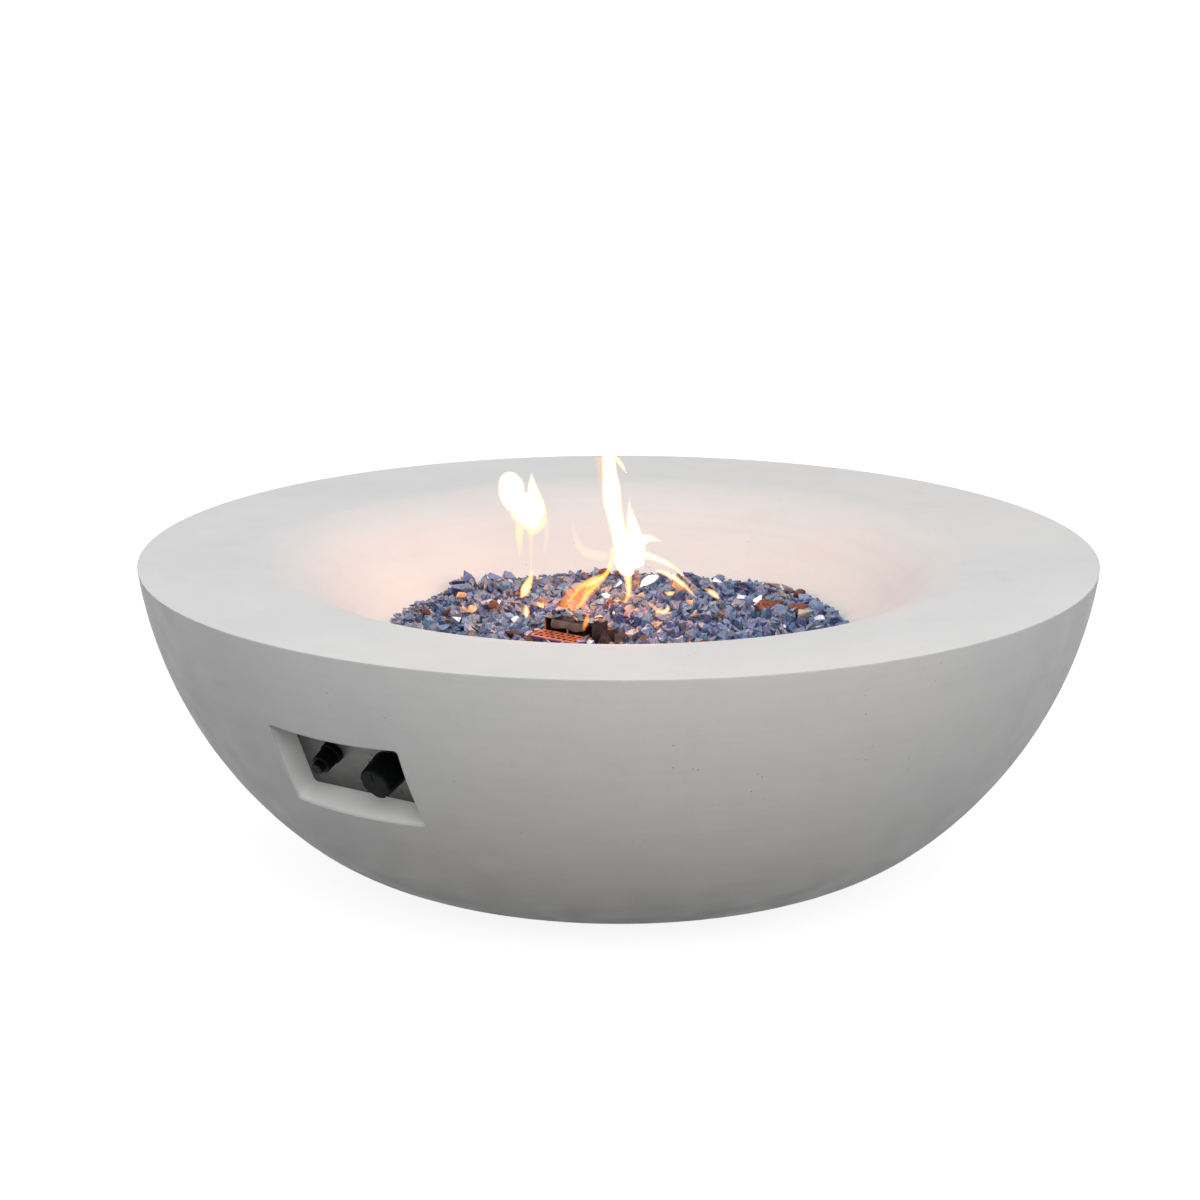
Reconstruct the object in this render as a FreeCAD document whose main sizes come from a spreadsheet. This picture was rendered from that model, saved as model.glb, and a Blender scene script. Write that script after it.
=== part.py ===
"""Concrete fire bowl with a gas burner: a cast double-skinned bowl, a drop-in burner pan with a
ring burner under lava rock and fire glass, and a control plate with a gas valve and an igniter.

Millimetres and degrees. Z is up and the ground is Z = 0. The origin is the centre of the circle of
foot pads, on the ground. The control recess faces -Y and the gas inlet faces +Y.

Two local frames are used as well:
  panel frame  its origin is the middle of the recess floor, z points out of the bowl, y up the floor
  inlet frame  its origin is the bowl's skin at the inlet, z points out of the bowl along its normal
"""
import FreeCAD, Part
import math
import os
import re

import Sketcher
from FreeCAD import Placement, Rotation, Vector

# ------------------------------------------------------------------ driving dimensions

SIZES = {
    # Bowl casting
    "rim_diameter": 1070,  # outside of the rim
    "casting_height": 350,  # from the foot ring to the rim
    "base_radius": 206,  # flat foot ring, outside
    "heel_radius": 263,  # lower curve of the outside
    "flank_radius": 462,  # upper curve of the outside
    "shell": 16,  # thickness of the skins
    "floor_thickness": 22,  # thickness of the foot ring
    "opening_radius": 158,  # service opening in the base
    "rim_land": 125,  # width of the flat rim
    "lip_radius": 120,  # round from the rim into the dish
    "lip_angle": 42,  # steepest slope of the dish
    "seat_radius": 252,  # rebate for the burner pan's flange
    "seat_depth": 6,  # depth of that rebate
    "pan_hole_gap": 2,  # round the pan's wall
    # Control recess
    "panel_radius": 452.4,  # recess floor from the bowl's axis
    "panel_height": 222.8,  # recess floor's middle above the foot ring
    "panel_tilt": 26,  # the floor faces this far below level
    "recess_width": 170,
    "recess_height": 102.6,
    "recess_corner": 5,  # corner radius
    "recess_wall": 12,  # concrete round and behind the recess
    "window_margin": 20,  # ledge above and below the window in its floor
    "window_gap": 6,  # from the valve's bonnet to the window's side
    "control_spacing": 80,  # between the igniter and the valve
    # Gas inlet
    "inlet_angle": 39,  # below level, along the bowl's normal
    "inlet_spot_radius": 20,  # flat sunk into the skin
    "inlet_spot_depth": 4,
    "inlet_boss_radius": 28,  # inside boss
    "inlet_boss_height": 7,  # beyond the skin's inside
    "inlet_thread_radius": 7.94,  # 5/8 inch flare thread
    "inlet_thread_length": 16,
    "inlet_hex": 24,  # across flats
    "inlet_hex_height": 10,
    # Feet and base plate
    "pad_lift": 4,  # ground to foot ring
    "pad_radius": 14,
    "pad_sink": 6,  # depth of the pockets for the pads
    "pad_circle": 190,  # radius of the circle of pads
    "pad_count": 4,
    "plate_sheet": 2,  # base plate
    "plate_ledge": 16,  # width of the ledge that carries it
    "plate_screw_radius": 2.5,
    "plate_screw_length": 16,
    "plate_screw_count": 6,
    "vent_count": 12,
    "vent_width": 9,
    "vent_inside": 55,  # radius where the vents begin
    "vent_length": 70,
    # Burner
    "pan_sheet": 1.5,  # stainless sheet
    "pan_radius": 226,  # outside of the pan's wall
    "pan_flange": 24,  # width of its flange
    "pan_depth": 60,
    "pan_corner": 6,
    "weep_radius": 4,  # drain holes
    "weep_circle": 195,
    "weep_count": 8,
    "ring_radius": 150,  # centreline of the ring burner
    "tube_radius": 9.5,
    "tube_wall": 1.2,
    "ring_stand": 14,  # from the pan's floor to the tube
    "port_radius": 1.2,  # gas ports
    "port_count": 40,
    "cross_port_pitch": 14,
    "cross_port_count": 9,  # on each arm of the cross tube
    "hub_radius": 16,
    "nipple_radius": 10,
    "nipple_bore": 7,
    "nipple_length": 16,  # below the pan
    "locknut_hex": 30,
    "locknut_height": 6,
    "mixer_radius": 14,
    "mixer_length": 56,
    "mixer_air_radius": 4.5,  # air holes
    "mixer_air_count": 4,
    "jet_thread_radius": 6,
    "jet_thread_length": 10,
    "jet_hex": 17,
    "jet_hex_height": 10,
    "jet_bore": 0.8,
    "lava_cover": 6,  # lava rock over the burner
    "bed_radius": 262,  # edge of the fire glass
    "bed_edge": 3,  # its height there
    "bed_rise": 4,  # from its edge to its middle
    "lump_pitch": 59,  # between the heaps of chips on it
    "lump_radius": 25,  # their corners
    "lump_height": 7,
    "lump_slope_angle": 52,  # degrees from upright
    "fill_gap": 0.4,  # round the loose fill
    # Pilot
    "cage_offset": 4,  # middle of the pilot cage, left of the axis
    "cage_front": 119,  # its front wall from the axis
    "cage_width": 66,
    "cage_depth": 58,
    "cage_grille": 30,  # depth of the slotted top
    "cage_above": 6,  # top above the fire glass's edge
    "cage_sheet": 1.2,
    "hood_height": 14,
    "slot_column_count": 8,
    "slot_row_count": 3,
    "slot_bar": 1.8,  # bars between the slots
    "probe_spacing": 24,  # electrode to thermocouple
    "probe_radius": 3.5,
    "probe_height": 84,  # above the pan's floor, up into the hood
    "probe_drop": 16,  # below the pan
    "probe_tip_radius": 2,
    "probe_tip_length": 14,
    "bracket_sheet": 2,
    "bracket_width": 44,
    "bracket_depth": 20,
    # Control plate
    "panel_sheet": 1.5,  # control plate
    "panel_gap": 0.5,  # round the plate
    "stud_radius": 2.5,
    "stud_length": 22,
    "stud_inset": 9,  # from the recess's sides
    "stud_hole_gap": 0.5,
    "stud_nut_hex": 8,
    "stud_nut_height": 4,
    # Gas valve
    "bonnet_sheet": 3,
    "bonnet_width": 38,
    "bonnet_height": 26,
    "valve_radius": 16,
    "valve_length": 53,
    "valve_flange": 5,
    "valve_screw_spacing": 26,
    "valve_screw_radius": 2,
    "valve_screw_length": 8,  # below the plate
    "valve_head_radius": 3.4,
    "valve_head_height": 2.2,
    "spring_room": 13,  # in front of the plug
    "plug_large": 9,  # radius of the taper plug, front
    "plug_small": 7,  # rear
    "plug_length": 30,
    "port_back": 24,  # gas ways behind the plug's front
    "gas_way": 3,  # radius of the gas ways
    "union_radius": 8,  # inlet and outlet bosses
    "union_reach": 30,
    "magnet_radius": 9,
    "magnet_length": 18,
    "magnet_thread": 6,
    "magnet_nose": 4,
    "spindle_radius": 3,
    "spindle_flat": 0.7,  # depth of its flat
    "spindle_in_plug": 13,
    "collar_radius": 5.5,
    "collar_height": 1.8,
    "push_travel": 4,
    "running_gap": 0.1,
    "knob_radius": 20,
    "knob_gap": 5.5,  # behind the knob
    "knob_height": 29,
    "knob_skirt": 5,
    "knob_draft_angle": 2,  # degrees
    "knob_lobe_count": 6,
    "scallop_radius": 10,
    "scallop_depth": 2.4,
    "knob_round": 2.2,
    "knob_socket": 15,
    "knob_hollow_radius": 17.2,
    "knob_hollow": 5,
    "wire_radius": 0.5,  # spring wire
    "knob_spring_turn_count": 5,
    # Igniter
    "igniter_flange_radius": 12.4,
    "igniter_flange": 7,
    "igniter_radius": 10.2,  # threaded barrel
    "igniter_length": 62,  # behind the plate
    "igniter_wall": 2.4,
    "igniter_nut_hex": 27,
    "igniter_nut_height": 6,
    "cap_radius": 10.6,
    "cap_height": 17,
    "cap_spigot": 7,
    "button_radius": 7,
    "button_proud": 7.5,
    "button_sink": 6,  # length inside the cap
    "button_travel": 3,
    "button_spring_solid": 4,  # length of its spring when pressed
    "battery_radius": 7.25,  # AA cell
    "battery_length": 49.2,
    "battery_nub": 1.3,
    "terminal_length": 6,
    "battery_spring_turn_count": 2,
    "button_spring_turn_count": 3,
    # Pipes and leads
    "pipe_radius": 5,
    "pipe_bore": 3.6,
    "pipe_nut_hex": 17,
    "pipe_nut_height": 11,
    "lead_radius": 1.6,  # thermocouple lead
    "wire_cover_radius": 2.2,  # ignition wire
}

# Values worked out from the driving dimensions, in this order.
DERIVED = {
    "rim_radius": "rim_diameter / 2",
    "rim_top": "pad_lift + casting_height",
    # The outside is two tangent arcs: the heel stands on the foot ring, the flank reaches the rim.
    "heel_z": "pad_lift + heel_radius",
    "curve_reach": "rim_radius - base_radius",
    "curve_rise": "casting_height - heel_radius",
    "curve_span": "sqrt(curve_reach ^ 2 + curve_rise ^ 2)",
    "centre_step": "flank_radius - heel_radius",
    "centre_along": "(centre_step ^ 2 - flank_radius ^ 2 + curve_span ^ 2) / (2 * curve_span)",
    "centre_off": "sqrt(centre_step ^ 2 - centre_along ^ 2)",
    "flank_x": "base_radius + (centre_along * curve_reach - centre_off * curve_rise) / curve_span",
    "flank_z": "heel_z + (centre_along * curve_rise + centre_off * curve_reach) / curve_span",
    "turn_x": "(base_radius - flank_x) / centre_step",
    "turn_z": "(heel_z - flank_z) / centre_step",
    # The inside: a lip round, then a spherical dish centred on the axis and tangent to it.
    "lip_start": "rim_radius - rim_land",
    "lip_x": "lip_start - lip_radius * sin(lip_angle)",
    "lip_z": "rim_top - lip_radius * (1 - cos(lip_angle))",
    "dish_radius": "lip_x / sin(lip_angle)",
    "dish_z": "lip_z + dish_radius * cos(lip_angle)",
    "dish_under": "dish_radius + shell",
    "seat_edge_z": "dish_z - sqrt(dish_radius ^ 2 - seat_radius ^ 2)",
    "seat_z": "seat_edge_z - seat_depth",
    "rebate_radius": "opening_radius + plate_ledge",
    "rebate_z": "pad_lift + plate_sheet + plate_screw_radius",
    "panel_z": "pad_lift + panel_height",
    # Burner pan, burner and fill.
    "pan_top": "seat_z + pan_sheet",
    "pan_under": "pan_top - pan_depth",
    "pan_floor": "pan_under + pan_sheet",
    "pan_inside": "pan_radius - pan_sheet",
    "ring_z": "pan_floor + ring_stand + tube_radius",
    "ring_top": "ring_z + tube_radius",
    "mixer_top": "pan_under - locknut_height",
    "mixer_under": "mixer_top - mixer_length",
    "jet_under": "mixer_under - jet_hex_height - pipe_nut_height",
    "lava_top": "ring_top + lava_cover",
    "bed_edge_z": "dish_z - sqrt(dish_radius ^ 2 - bed_radius ^ 2) + bed_edge",
    "bed_curve": "(bed_radius ^ 2 + bed_rise ^ 2) / (2 * bed_rise)",
    "lump_spread": "lump_pitch * sqrt(sqrt(3) / (2 * pi))",
    "cage_top": "bed_edge_z + cage_above",
    "cage_x": "-cage_offset",
    "cage_y": "-cage_front + cage_depth / 2",
    "probe_y": "cage_y + cage_grille / 2",
    # Panel-frame heights of the valve train and of the igniter.
    "valve_x": "control_spacing / 2",
    "valve_front": "-bonnet_sheet",
    "valve_rear": "valve_front - valve_length",
    "plug_front": "valve_front - spring_room",
    "plug_rear": "plug_front - plug_length",
    "gas_z": "plug_front - port_back",
    "magnet_rear": "valve_rear - magnet_length",
    "knob_back": "panel_sheet + knob_gap",
    "knob_front": "knob_back + knob_height",
    "cap_back": "panel_sheet + igniter_flange",
    "cap_front": "cap_back + cap_height",
    "cap_floor": "cap_front - button_sink - button_travel - button_spring_solid",
    "igniter_bore": "igniter_radius - igniter_wall",
    "igniter_rear": "-igniter_length",
    "battery_front": "cap_back - cap_spigot - 2 * running_gap",
    "battery_rear": "battery_front - battery_nub - battery_length",
    # Where the inlet's frame meets the skin, and its heights.
    "inlet_below": "sin(inlet_angle) + turn_z",  # above 0 the inlet is on the heel, else on the flank
    "inlet_y": "(inlet_below > 0 ? base_radius + heel_radius * cos(inlet_angle) : "
               "flank_x + flank_radius * cos(inlet_angle))",
    "inlet_z": "(inlet_below > 0 ? heel_z - heel_radius * sin(inlet_angle) : "
               "flank_z - flank_radius * sin(inlet_angle))",
    "inlet_flat": "-shell - inlet_boss_height",
    "inlet_nose": "inlet_hex_height - inlet_spot_depth + inlet_thread_length",
    "inlet_tail": "inlet_flat - locknut_height - jet_thread_length",
}

doc = FreeCAD.newDocument("fire_bowl")
sizes = doc.addObject("Spreadsheet::Sheet", "Sizes")
derived = doc.addObject("App::VarSet", "Derived")
OWNER = {}
SUBPARTS = []


def fill_sheet():
    """Writes the driving dimensions to the sheet, one row each, and the derived ones after them."""
    for row, (alias, number) in enumerate(SIZES.items(), 1):
        sizes.set(f"A{row}", alias)
        sizes.set(f"B{row}", str(number))
        sizes.setAlias(f"B{row}", alias)
        OWNER[alias] = "Sizes."
    doc.recompute()
    for name, formula in DERIVED.items():
        derived.addProperty("App::PropertyFloat", name, "Derived", formula)
        derived.setExpression(name, refer(formula))
        OWNER[name] = "Derived."
        doc.recompute()


def refer(formula):
    """The formula as an expression that names the sheet or the derived set before each size."""
    return re.sub(r"[A-Za-z_]\w*", lambda m: OWNER.get(m.group(), "") + m.group(), str(formula))


def value(formula):
    return float(sizes.evalExpression(refer(formula)))


def bind(thing, **formulas):
    """Binds properties, named with _ for a dot, to formulas."""
    for name, formula in formulas.items():
        thing.setExpression(name.replace("_", ".") if "_" in name else name, refer(formula))
    return thing


# ------------------------------------------------------------------ sketches

# A constraint names a point of an edge by its place in this list. A sketch's x axis is its edge -1,
# which starts at the sketch's origin, and its y axis is its edge -2.
SPOTS = ["whole", "start", "end", "centre"]
START, END, CENTRE = (SPOTS.index(spot) for spot in SPOTS[1:])


def new_body(label, kept=True):
    body = doc.addObject("PartDesign::Body", label)
    body.AllowCompound = True
    if kept:
        SUBPARTS.append(body)
    return body


def sketch_on(body, role="XY_Plane", lift="0"):
    """A sketch on one of the body's own planes, moved along the plane's normal by lift."""
    sketch = body.newObject("Sketcher::SketchObject", body.Name + "_sketch")
    plane = next(f for f in body.Origin.OriginFeatures if f.Role == role)
    sketch.AttachmentSupport = [(plane, "")]
    sketch.MapMode = "FlatFace"
    bind(sketch, AttachmentOffset_Base_z=lift)
    return sketch


def pin(sketch, geo, pos, x, y):
    """Holds a point of the sketch at the coordinates x, y, which are formulas."""
    for kind, formula, axis in (("DistanceX", x, -2), ("DistanceY", y, -1)):
        number = value(formula)
        if abs(number) < 1e-9:
            sketch.addConstraint(Sketcher.Constraint("PointOnObject", geo, pos, axis))
            continue
        index = sketch.addConstraint(Sketcher.Constraint(kind, -1, START, geo, pos, number))
        sketch.setExpression(f"Constraints[{index}]", refer(formula))


def size_radius(sketch, geo, formula):
    index = sketch.addConstraint(Sketcher.Constraint("Radius", geo, value(formula)))
    sketch.setExpression(f"Constraints[{index}]", refer(formula))


def draw_circle(sketch, x, y, radius):
    centre = Vector(value(x), value(y), 0)
    circle = Part.Circle(centre, Vector(0, 0, 1), value(radius))
    geo = sketch.addGeometry(circle, False)
    pin(sketch, geo, CENTRE, x, y)
    size_radius(sketch, geo, radius)


def arc_between(begin, end, radius, turn):
    """The shorter arc from begin to end, whose centre is to the left where turn is 1."""
    chord = end - begin
    away = math.sqrt(max(radius**2 - (chord.Length / 2) ** 2, 0))
    side = Vector(-chord.y, chord.x, 0).normalize() * away * turn
    centre = begin + chord * 0.5 + side
    first, last = (begin, end) if turn > 0 else (end, begin)
    angles = [math.atan2(p.y - centre.y, p.x - centre.x) for p in (first, last)]
    return Part.ArcOfCircle(Part.Circle(centre, Vector(0, 0, 1), radius), *angles)


def draw_outline(sketch, corners):
    """A closed outline. Each corner is (x, y), reached by a line, or (x, y, radius, turn), reached
    by an arc; the radius "half" makes a half circle."""
    points = [Vector(value(c[0]), value(c[1]), 0) for c in corners]
    ends = []
    for index, corner in enumerate(corners):
        begin, end = points[index - 1], points[index]
        if len(corner) == 2:
            geo = sketch.addGeometry(Part.LineSegment(begin, end), False)
            ends.append((geo, START, END))
            continue
        half = corner[2] == "half"
        radius = begin.distanceToPoint(end) / 2 if half else value(corner[2])
        geo = sketch.addGeometry(arc_between(begin, end, radius, corner[3]), False)
        ends.append((geo, START, END) if corner[3] > 0 else (geo, END, START))
    for index, (geo, _, last) in enumerate(ends):
        following = ends[(index + 1) % len(ends)]
        sketch.addConstraint(Sketcher.Constraint("Coincident", geo, last, following[0], following[1]))
        pin(sketch, geo, last, corners[index][0], corners[index][1])
    for (geo, _, _), corner in zip(ends, corners):
        if len(corner) == 4 and corner[2] == "half":
            sketch.addConstraint(Sketcher.Constraint("Symmetric", geo, START, geo, END, geo, CENTRE))
        elif len(corner) == 4:
            size_radius(sketch, geo, corner[2])


def draw_rectangle(sketch, x, y, width, height, corner=None):
    """A rectangle about x, y, with round corners where corner is given."""
    right, left = f"{x} + ({width}) / 2", f"{x} - ({width}) / 2"
    top, low = f"{y} + ({height}) / 2", f"{y} - ({height}) / 2"
    if corner is None:
        draw_outline(sketch, [(left, low), (right, low), (right, top), (left, top)])
        return
    c = f"({corner})"
    draw_outline(sketch, [
        (f"{left} + {c}", low), (f"{right} - {c}", low),
        (right, f"{low} + {c}", corner, 1), (right, f"{top} - {c}"),
        (f"{right} - {c}", top, corner, 1), (f"{left} + {c}", top),
        (left, f"{top} - {c}", corner, 1), (left, f"{low} + {c}"),
        (f"{left} + {c}", low, corner, 1)][1:])


def draw_hexagon(sketch, across, x="0", y="0"):
    """A hexagon about x, y with two flats square to the sketch's y axis."""
    spoke = f"({across}) / sqrt(3)"
    draw_outline(sketch, [(f"{x} + {spoke} * cos({60 * k})", f"{y} + {spoke} * sin({60 * k})")
                          for k in range(6)])


# ------------------------------------------------------------------ features

def feature(body, kind, sketch, **settings):
    made = body.newObject("PartDesign::" + kind, body.Name + "_" + kind.lower())
    if sketch is not None:
        made.Profile = sketch
    for name, setting in settings.items():
        setattr(made, name, setting)
    return made


def pad(body, sketch, length, **settings):
    return bind(feature(body, "Pad", sketch, **settings), Length=length)


def pocket(body, sketch, length, **settings):
    """Cuts against the sketch's normal, or along it with Reversed."""
    return bind(feature(body, "Pocket", sketch, **settings), Length=length)


def turn(body, corners, kind="Revolution"):
    """Turns an outline of (radius, height) corners about the body's Z axis."""
    sketch = sketch_on(body, "XZ_Plane")
    draw_outline(sketch, corners)
    return feature(body, kind, sketch, ReferenceAxis=(sketch, ["V_Axis"]), Angle=360)


def pattern_round(body, original, count):
    """Repeats a feature round the body's Z axis."""
    around = feature(body, "PolarPattern", None, Originals=[original], Angle=360)
    around.Axis = (original.Profile[0], ["N_Axis"])
    bind(around, Occurrences=count)
    body.Tip = around
    return around


def pattern_along(body, original, axis, pitch, count):
    """Repeats a feature along one axis of its sketch."""
    row = feature(body, "LinearPattern", None, Originals=[original])
    row.Direction = (original.Profile[0], [axis])
    bind(row, Length=f"({pitch}) * (({count}) - 1)", Occurrences=count)
    body.Tip = row
    return row


def round_edges(body, radius, wanted, kind="Fillet"):
    """Rounds those edges of the body so far for which wanted(edge) is true."""
    doc.recompute()
    base = body.Tip
    names = [f"Edge{i}" for i, e in enumerate(base.Shape.Edges, 1) if wanted(e)]
    made = body.newObject("PartDesign::" + kind, body.Name + "_" + kind.lower())
    made.Base = (base, names)
    bind(made, **{"Radius" if kind == "Fillet" else "Size": radius})
    return made


def at_height(edge, height):
    box = edge.BoundBox
    return abs(box.ZMin - height) < 1e-3 and abs(box.ZMax - height) < 1e-3


def turned_part(label, corners, kept=True):
    body = new_body(label, kept)
    turn(body, corners)
    return body


def tube_corners(inner, outer, low, high):
    return [(inner, low), (outer, low), (outer, high), (inner, high)]


# ------------------------------------------------------------------ frames

def place_on_panel(thing, x="0"):
    """Puts a piece drawn about its own Z axis into the panel frame, x along the recess."""
    thing.Placement = Placement(Vector(), Rotation(Vector(1, 0, 0), 90))
    bind(thing, Placement_Base_x=x, Placement_Base_y="-panel_radius", Placement_Base_z="panel_z",
         Placement_Rotation_Angle="90 + panel_tilt")
    return thing


def place_at_inlet(thing):
    """Puts a piece drawn about its own Z axis into the inlet frame."""
    thing.Placement = Placement(Vector(), Rotation(Vector(-1, 0, 0), 90))
    bind(thing, Placement_Base_y="inlet_y", Placement_Base_z="inlet_z",
         Placement_Rotation_Angle="90 + inlet_angle")
    return thing


def panel_point(x, y, z):
    """A point of the panel frame, in the part's own frame."""
    frame = Placement(Vector(0, -value("panel_radius"), value("panel_z")),
                      Rotation(Vector(1, 0, 0), 90 + value("panel_tilt")))
    return frame.multVec(Vector(value(x), value(y), value(z)))


def inlet_point(z):
    angle = math.radians(value("inlet_angle"))
    outwards = Vector(0, math.cos(angle), -math.sin(angle))
    return Vector(0, value("inlet_y"), value("inlet_z")) + outwards * value(z)


# ------------------------------------------------------------------ bowl casting

def casting_outside():
    """Corners of the bowl's outside, from the foot ring's edge to the rim."""
    return [("base_radius", "pad_lift"),
            ("base_radius + heel_radius * turn_x", "heel_z + heel_radius * turn_z", "heel_radius", 1),
            ("rim_radius", "rim_top", "flank_radius", 1)]


def casting_skins():
    """The cast skins: foot ring, outer wall, rim, dish and the seat for the burner pan."""
    wall_top = "rim_top - shell"
    heel_inside = "(heel_radius - shell)"
    floor_top = "pad_lift + floor_thickness"
    return turned_part("casting_skins", [
        ("opening_radius", "rebate_z"),
        ("rebate_radius", "rebate_z"),
        ("rebate_radius", "pad_lift"),
        *casting_outside(),
        ("lip_start", "rim_top"),
        ("lip_x", "lip_z", "lip_radius", 1),
        ("seat_radius", "seat_edge_z", "dish_radius", -1),
        ("seat_radius", "seat_z"),
        ("pan_radius + pan_hole_gap", "seat_z"),
        ("pan_radius + pan_hole_gap",
         "dish_z - sqrt(dish_under ^ 2 - (pan_radius + pan_hole_gap) ^ 2)"),
        ("dish_under * sin(lip_angle)", "dish_z - dish_under * cos(lip_angle)", "dish_under", 1),
        ("lip_start", wall_top, "lip_radius - shell", -1),
        (f"flank_x + sqrt((flank_radius - shell) ^ 2 - (flank_z - ({wall_top})) ^ 2)", wall_top),
        (f"base_radius + {heel_inside} * turn_x", f"heel_z + {heel_inside} * turn_z",
         "flank_radius - shell", -1),
        (f"base_radius + sqrt({heel_inside} ^ 2 - (heel_z - ({floor_top})) ^ 2)", floor_top,
         heel_inside, -1),
        ("opening_radius", floor_top),
    ], kept=False)


def panel_prism(label, width, height, low, high, corner):
    """A block about the recess's middle, from height low to high above its floor."""
    body = new_body(label, kept=False)
    sketch = sketch_on(body, lift=low)
    draw_rectangle(sketch, "0", "0", width, height, corner)
    pad(body, sketch, f"({high}) - ({low})")
    return place_on_panel(body)


def casting_holes():
    """Pockets for the pads and holes for the base screws, from below."""
    pads = new_body("pad_pockets", kept=False)
    sketch = sketch_on(pads, lift="0")
    draw_circle(sketch, "pad_circle * cos(45)", "pad_circle * sin(45)", "pad_radius + running_gap")
    pattern_round(pads, pad(pads, sketch, "pad_lift + pad_sink"), "pad_count")
    holes = new_body("base_screw_holes", kept=False)
    sketch = sketch_on(holes, lift="0")
    draw_circle(sketch, "rebate_radius - plate_ledge / 2", "0", "plate_screw_radius + running_gap")
    pattern_round(holes, pad(holes, sketch, "rebate_z + plate_screw_length"), "plate_screw_count")
    return [pads, holes]


def stud_holes():
    body = new_body("stud_holes", kept=False)
    sketch = sketch_on(body, lift="-2 * recess_wall")
    draw_studs(sketch, "stud_radius + stud_hole_gap")
    pad(body, sketch, "3 * recess_wall")
    return place_on_panel(body)


def draw_studs(sketch, radius):
    for x in ("(recess_width / 2 - stud_inset)", "-(recess_width / 2 - stud_inset)"):
        for y in ("(recess_height / 2 - stud_inset)", "-(recess_height / 2 - stud_inset)"):
            draw_circle(sketch, x, y, radius)


def combine(kind, label, base, tools, kept=False):
    """A Part boolean of base with the tools."""
    made = doc.addObject("Part::" + kind, label)
    if kind == "Cut":
        made.Base, made.Tool = base, tools[0]
    else:
        made.Shapes = [base, *tools]
    made.Refine = True
    if kept:
        SUBPARTS.append(made)
    return made


def bowl_casting():
    """The skins, with the control recess and the inlet's boss grown inwards from the outside."""
    envelope = turned_part("casting_envelope", [
        ("0", "pad_lift"), *casting_outside(), ("0", "rim_top")], kept=False)
    beyond = "panel_radius / 4"
    recess_box = panel_prism("recess_box", "recess_width + 2 * recess_wall",
                             "recess_height + 2 * recess_wall", "-recess_wall", beyond,
                             "recess_corner + recess_wall")
    inlet_boss = place_at_inlet(turned_part(
        "inlet_boss", [("0", "inlet_flat"), ("inlet_boss_radius", "inlet_flat"),
                       ("inlet_boss_radius", "shell"), ("0", "shell")], kept=False))
    bosses = combine("MultiFuse", "bosses", recess_box, [inlet_boss])
    trimmed = combine("MultiCommon", "trimmed_bosses", envelope, [bosses])
    solid = combine("MultiFuse", "casting_blank", casting_skins(), [trimmed])
    inlet_bore = place_at_inlet(turned_part("inlet_bore", [
        ("0", "inlet_flat - shell"),
        ("inlet_thread_radius + 2 * running_gap", "inlet_flat - shell"),
        ("inlet_thread_radius + 2 * running_gap", "-inlet_spot_depth"),
        ("inlet_spot_radius", "-inlet_spot_depth"),
        ("inlet_spot_radius", "shell"), ("0", "shell")], kept=False))
    tools = [panel_prism("recess_hollow", "recess_width", "recess_height", "0", beyond,
                         "recess_corner"),
             panel_prism("recess_window", "control_spacing + bonnet_width + 2 * window_gap",
                         "recess_height - 2 * window_margin", "-2 * recess_wall", beyond,
                         "recess_corner / 2"),
             stud_holes(), inlet_bore, *casting_holes()]
    cuts = combine("MultiFuse", "casting_cuts", tools[0], tools[1:])
    return combine("Cut", "bowl_casting", solid, [cuts], kept=True)


# ------------------------------------------------------------------ base

def base_plate():
    """Vented steel plate that closes the service opening."""
    body = turned_part("base_plate", [
        ("0", "rebate_z - plate_sheet"),
        ("rebate_radius - 1", "rebate_z - plate_sheet"),
        ("rebate_radius - 1", "rebate_z"), ("0", "rebate_z")])
    sketch = sketch_on(body, lift="rebate_z")
    ends = "vent_inside", "vent_inside + vent_length"
    half = "vent_width / 2"
    draw_outline(sketch, [(ends[0], f"-{half}"), (ends[1], f"-{half}"),
                          (ends[1], half, "half", 1), (ends[0], half), (ends[0], f"-{half}", "half", 1)][1:])
    pattern_round(body, pocket(body, sketch, "2 * plate_sheet"), "vent_count")
    sketch = sketch_on(body, lift="rebate_z")
    draw_circle(sketch, "rebate_radius - plate_ledge / 2", "0", "plate_screw_radius + 2 * running_gap")
    pattern_round(body, pocket(body, sketch, "2 * plate_sheet"), "plate_screw_count")
    return body


def base_screws():
    body = new_body("base_screws")
    where = "rebate_radius - plate_ledge / 2", "0"
    head = sketch_on(body, lift="rebate_z - plate_sheet - plate_screw_radius * 0.9")
    draw_circle(head, *where, "plate_screw_radius * 1.8")
    head = pad(body, head, "plate_screw_radius * 0.9")
    shank = sketch_on(body, lift="rebate_z - plate_sheet")
    draw_circle(shank, *where, "plate_screw_radius")
    shank = pad(body, shank, "plate_sheet + plate_screw_length - 1")
    around = pattern_round(body, shank, "plate_screw_count")
    around.Originals = [head, shank]
    return body


def foot_pads():
    """Rubber pads, sunk into the foot ring."""
    body = new_body("foot_pads")
    sketch = sketch_on(body)
    draw_circle(sketch, "pad_circle * cos(45)", "pad_circle * sin(45)", "pad_radius")
    pattern_round(body, pad(body, sketch, "pad_lift + pad_sink"), "pad_count")
    round_edges(body, "pad_lift / 3", lambda e: at_height(e, 0))
    return body


# ------------------------------------------------------------------ burner

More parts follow.
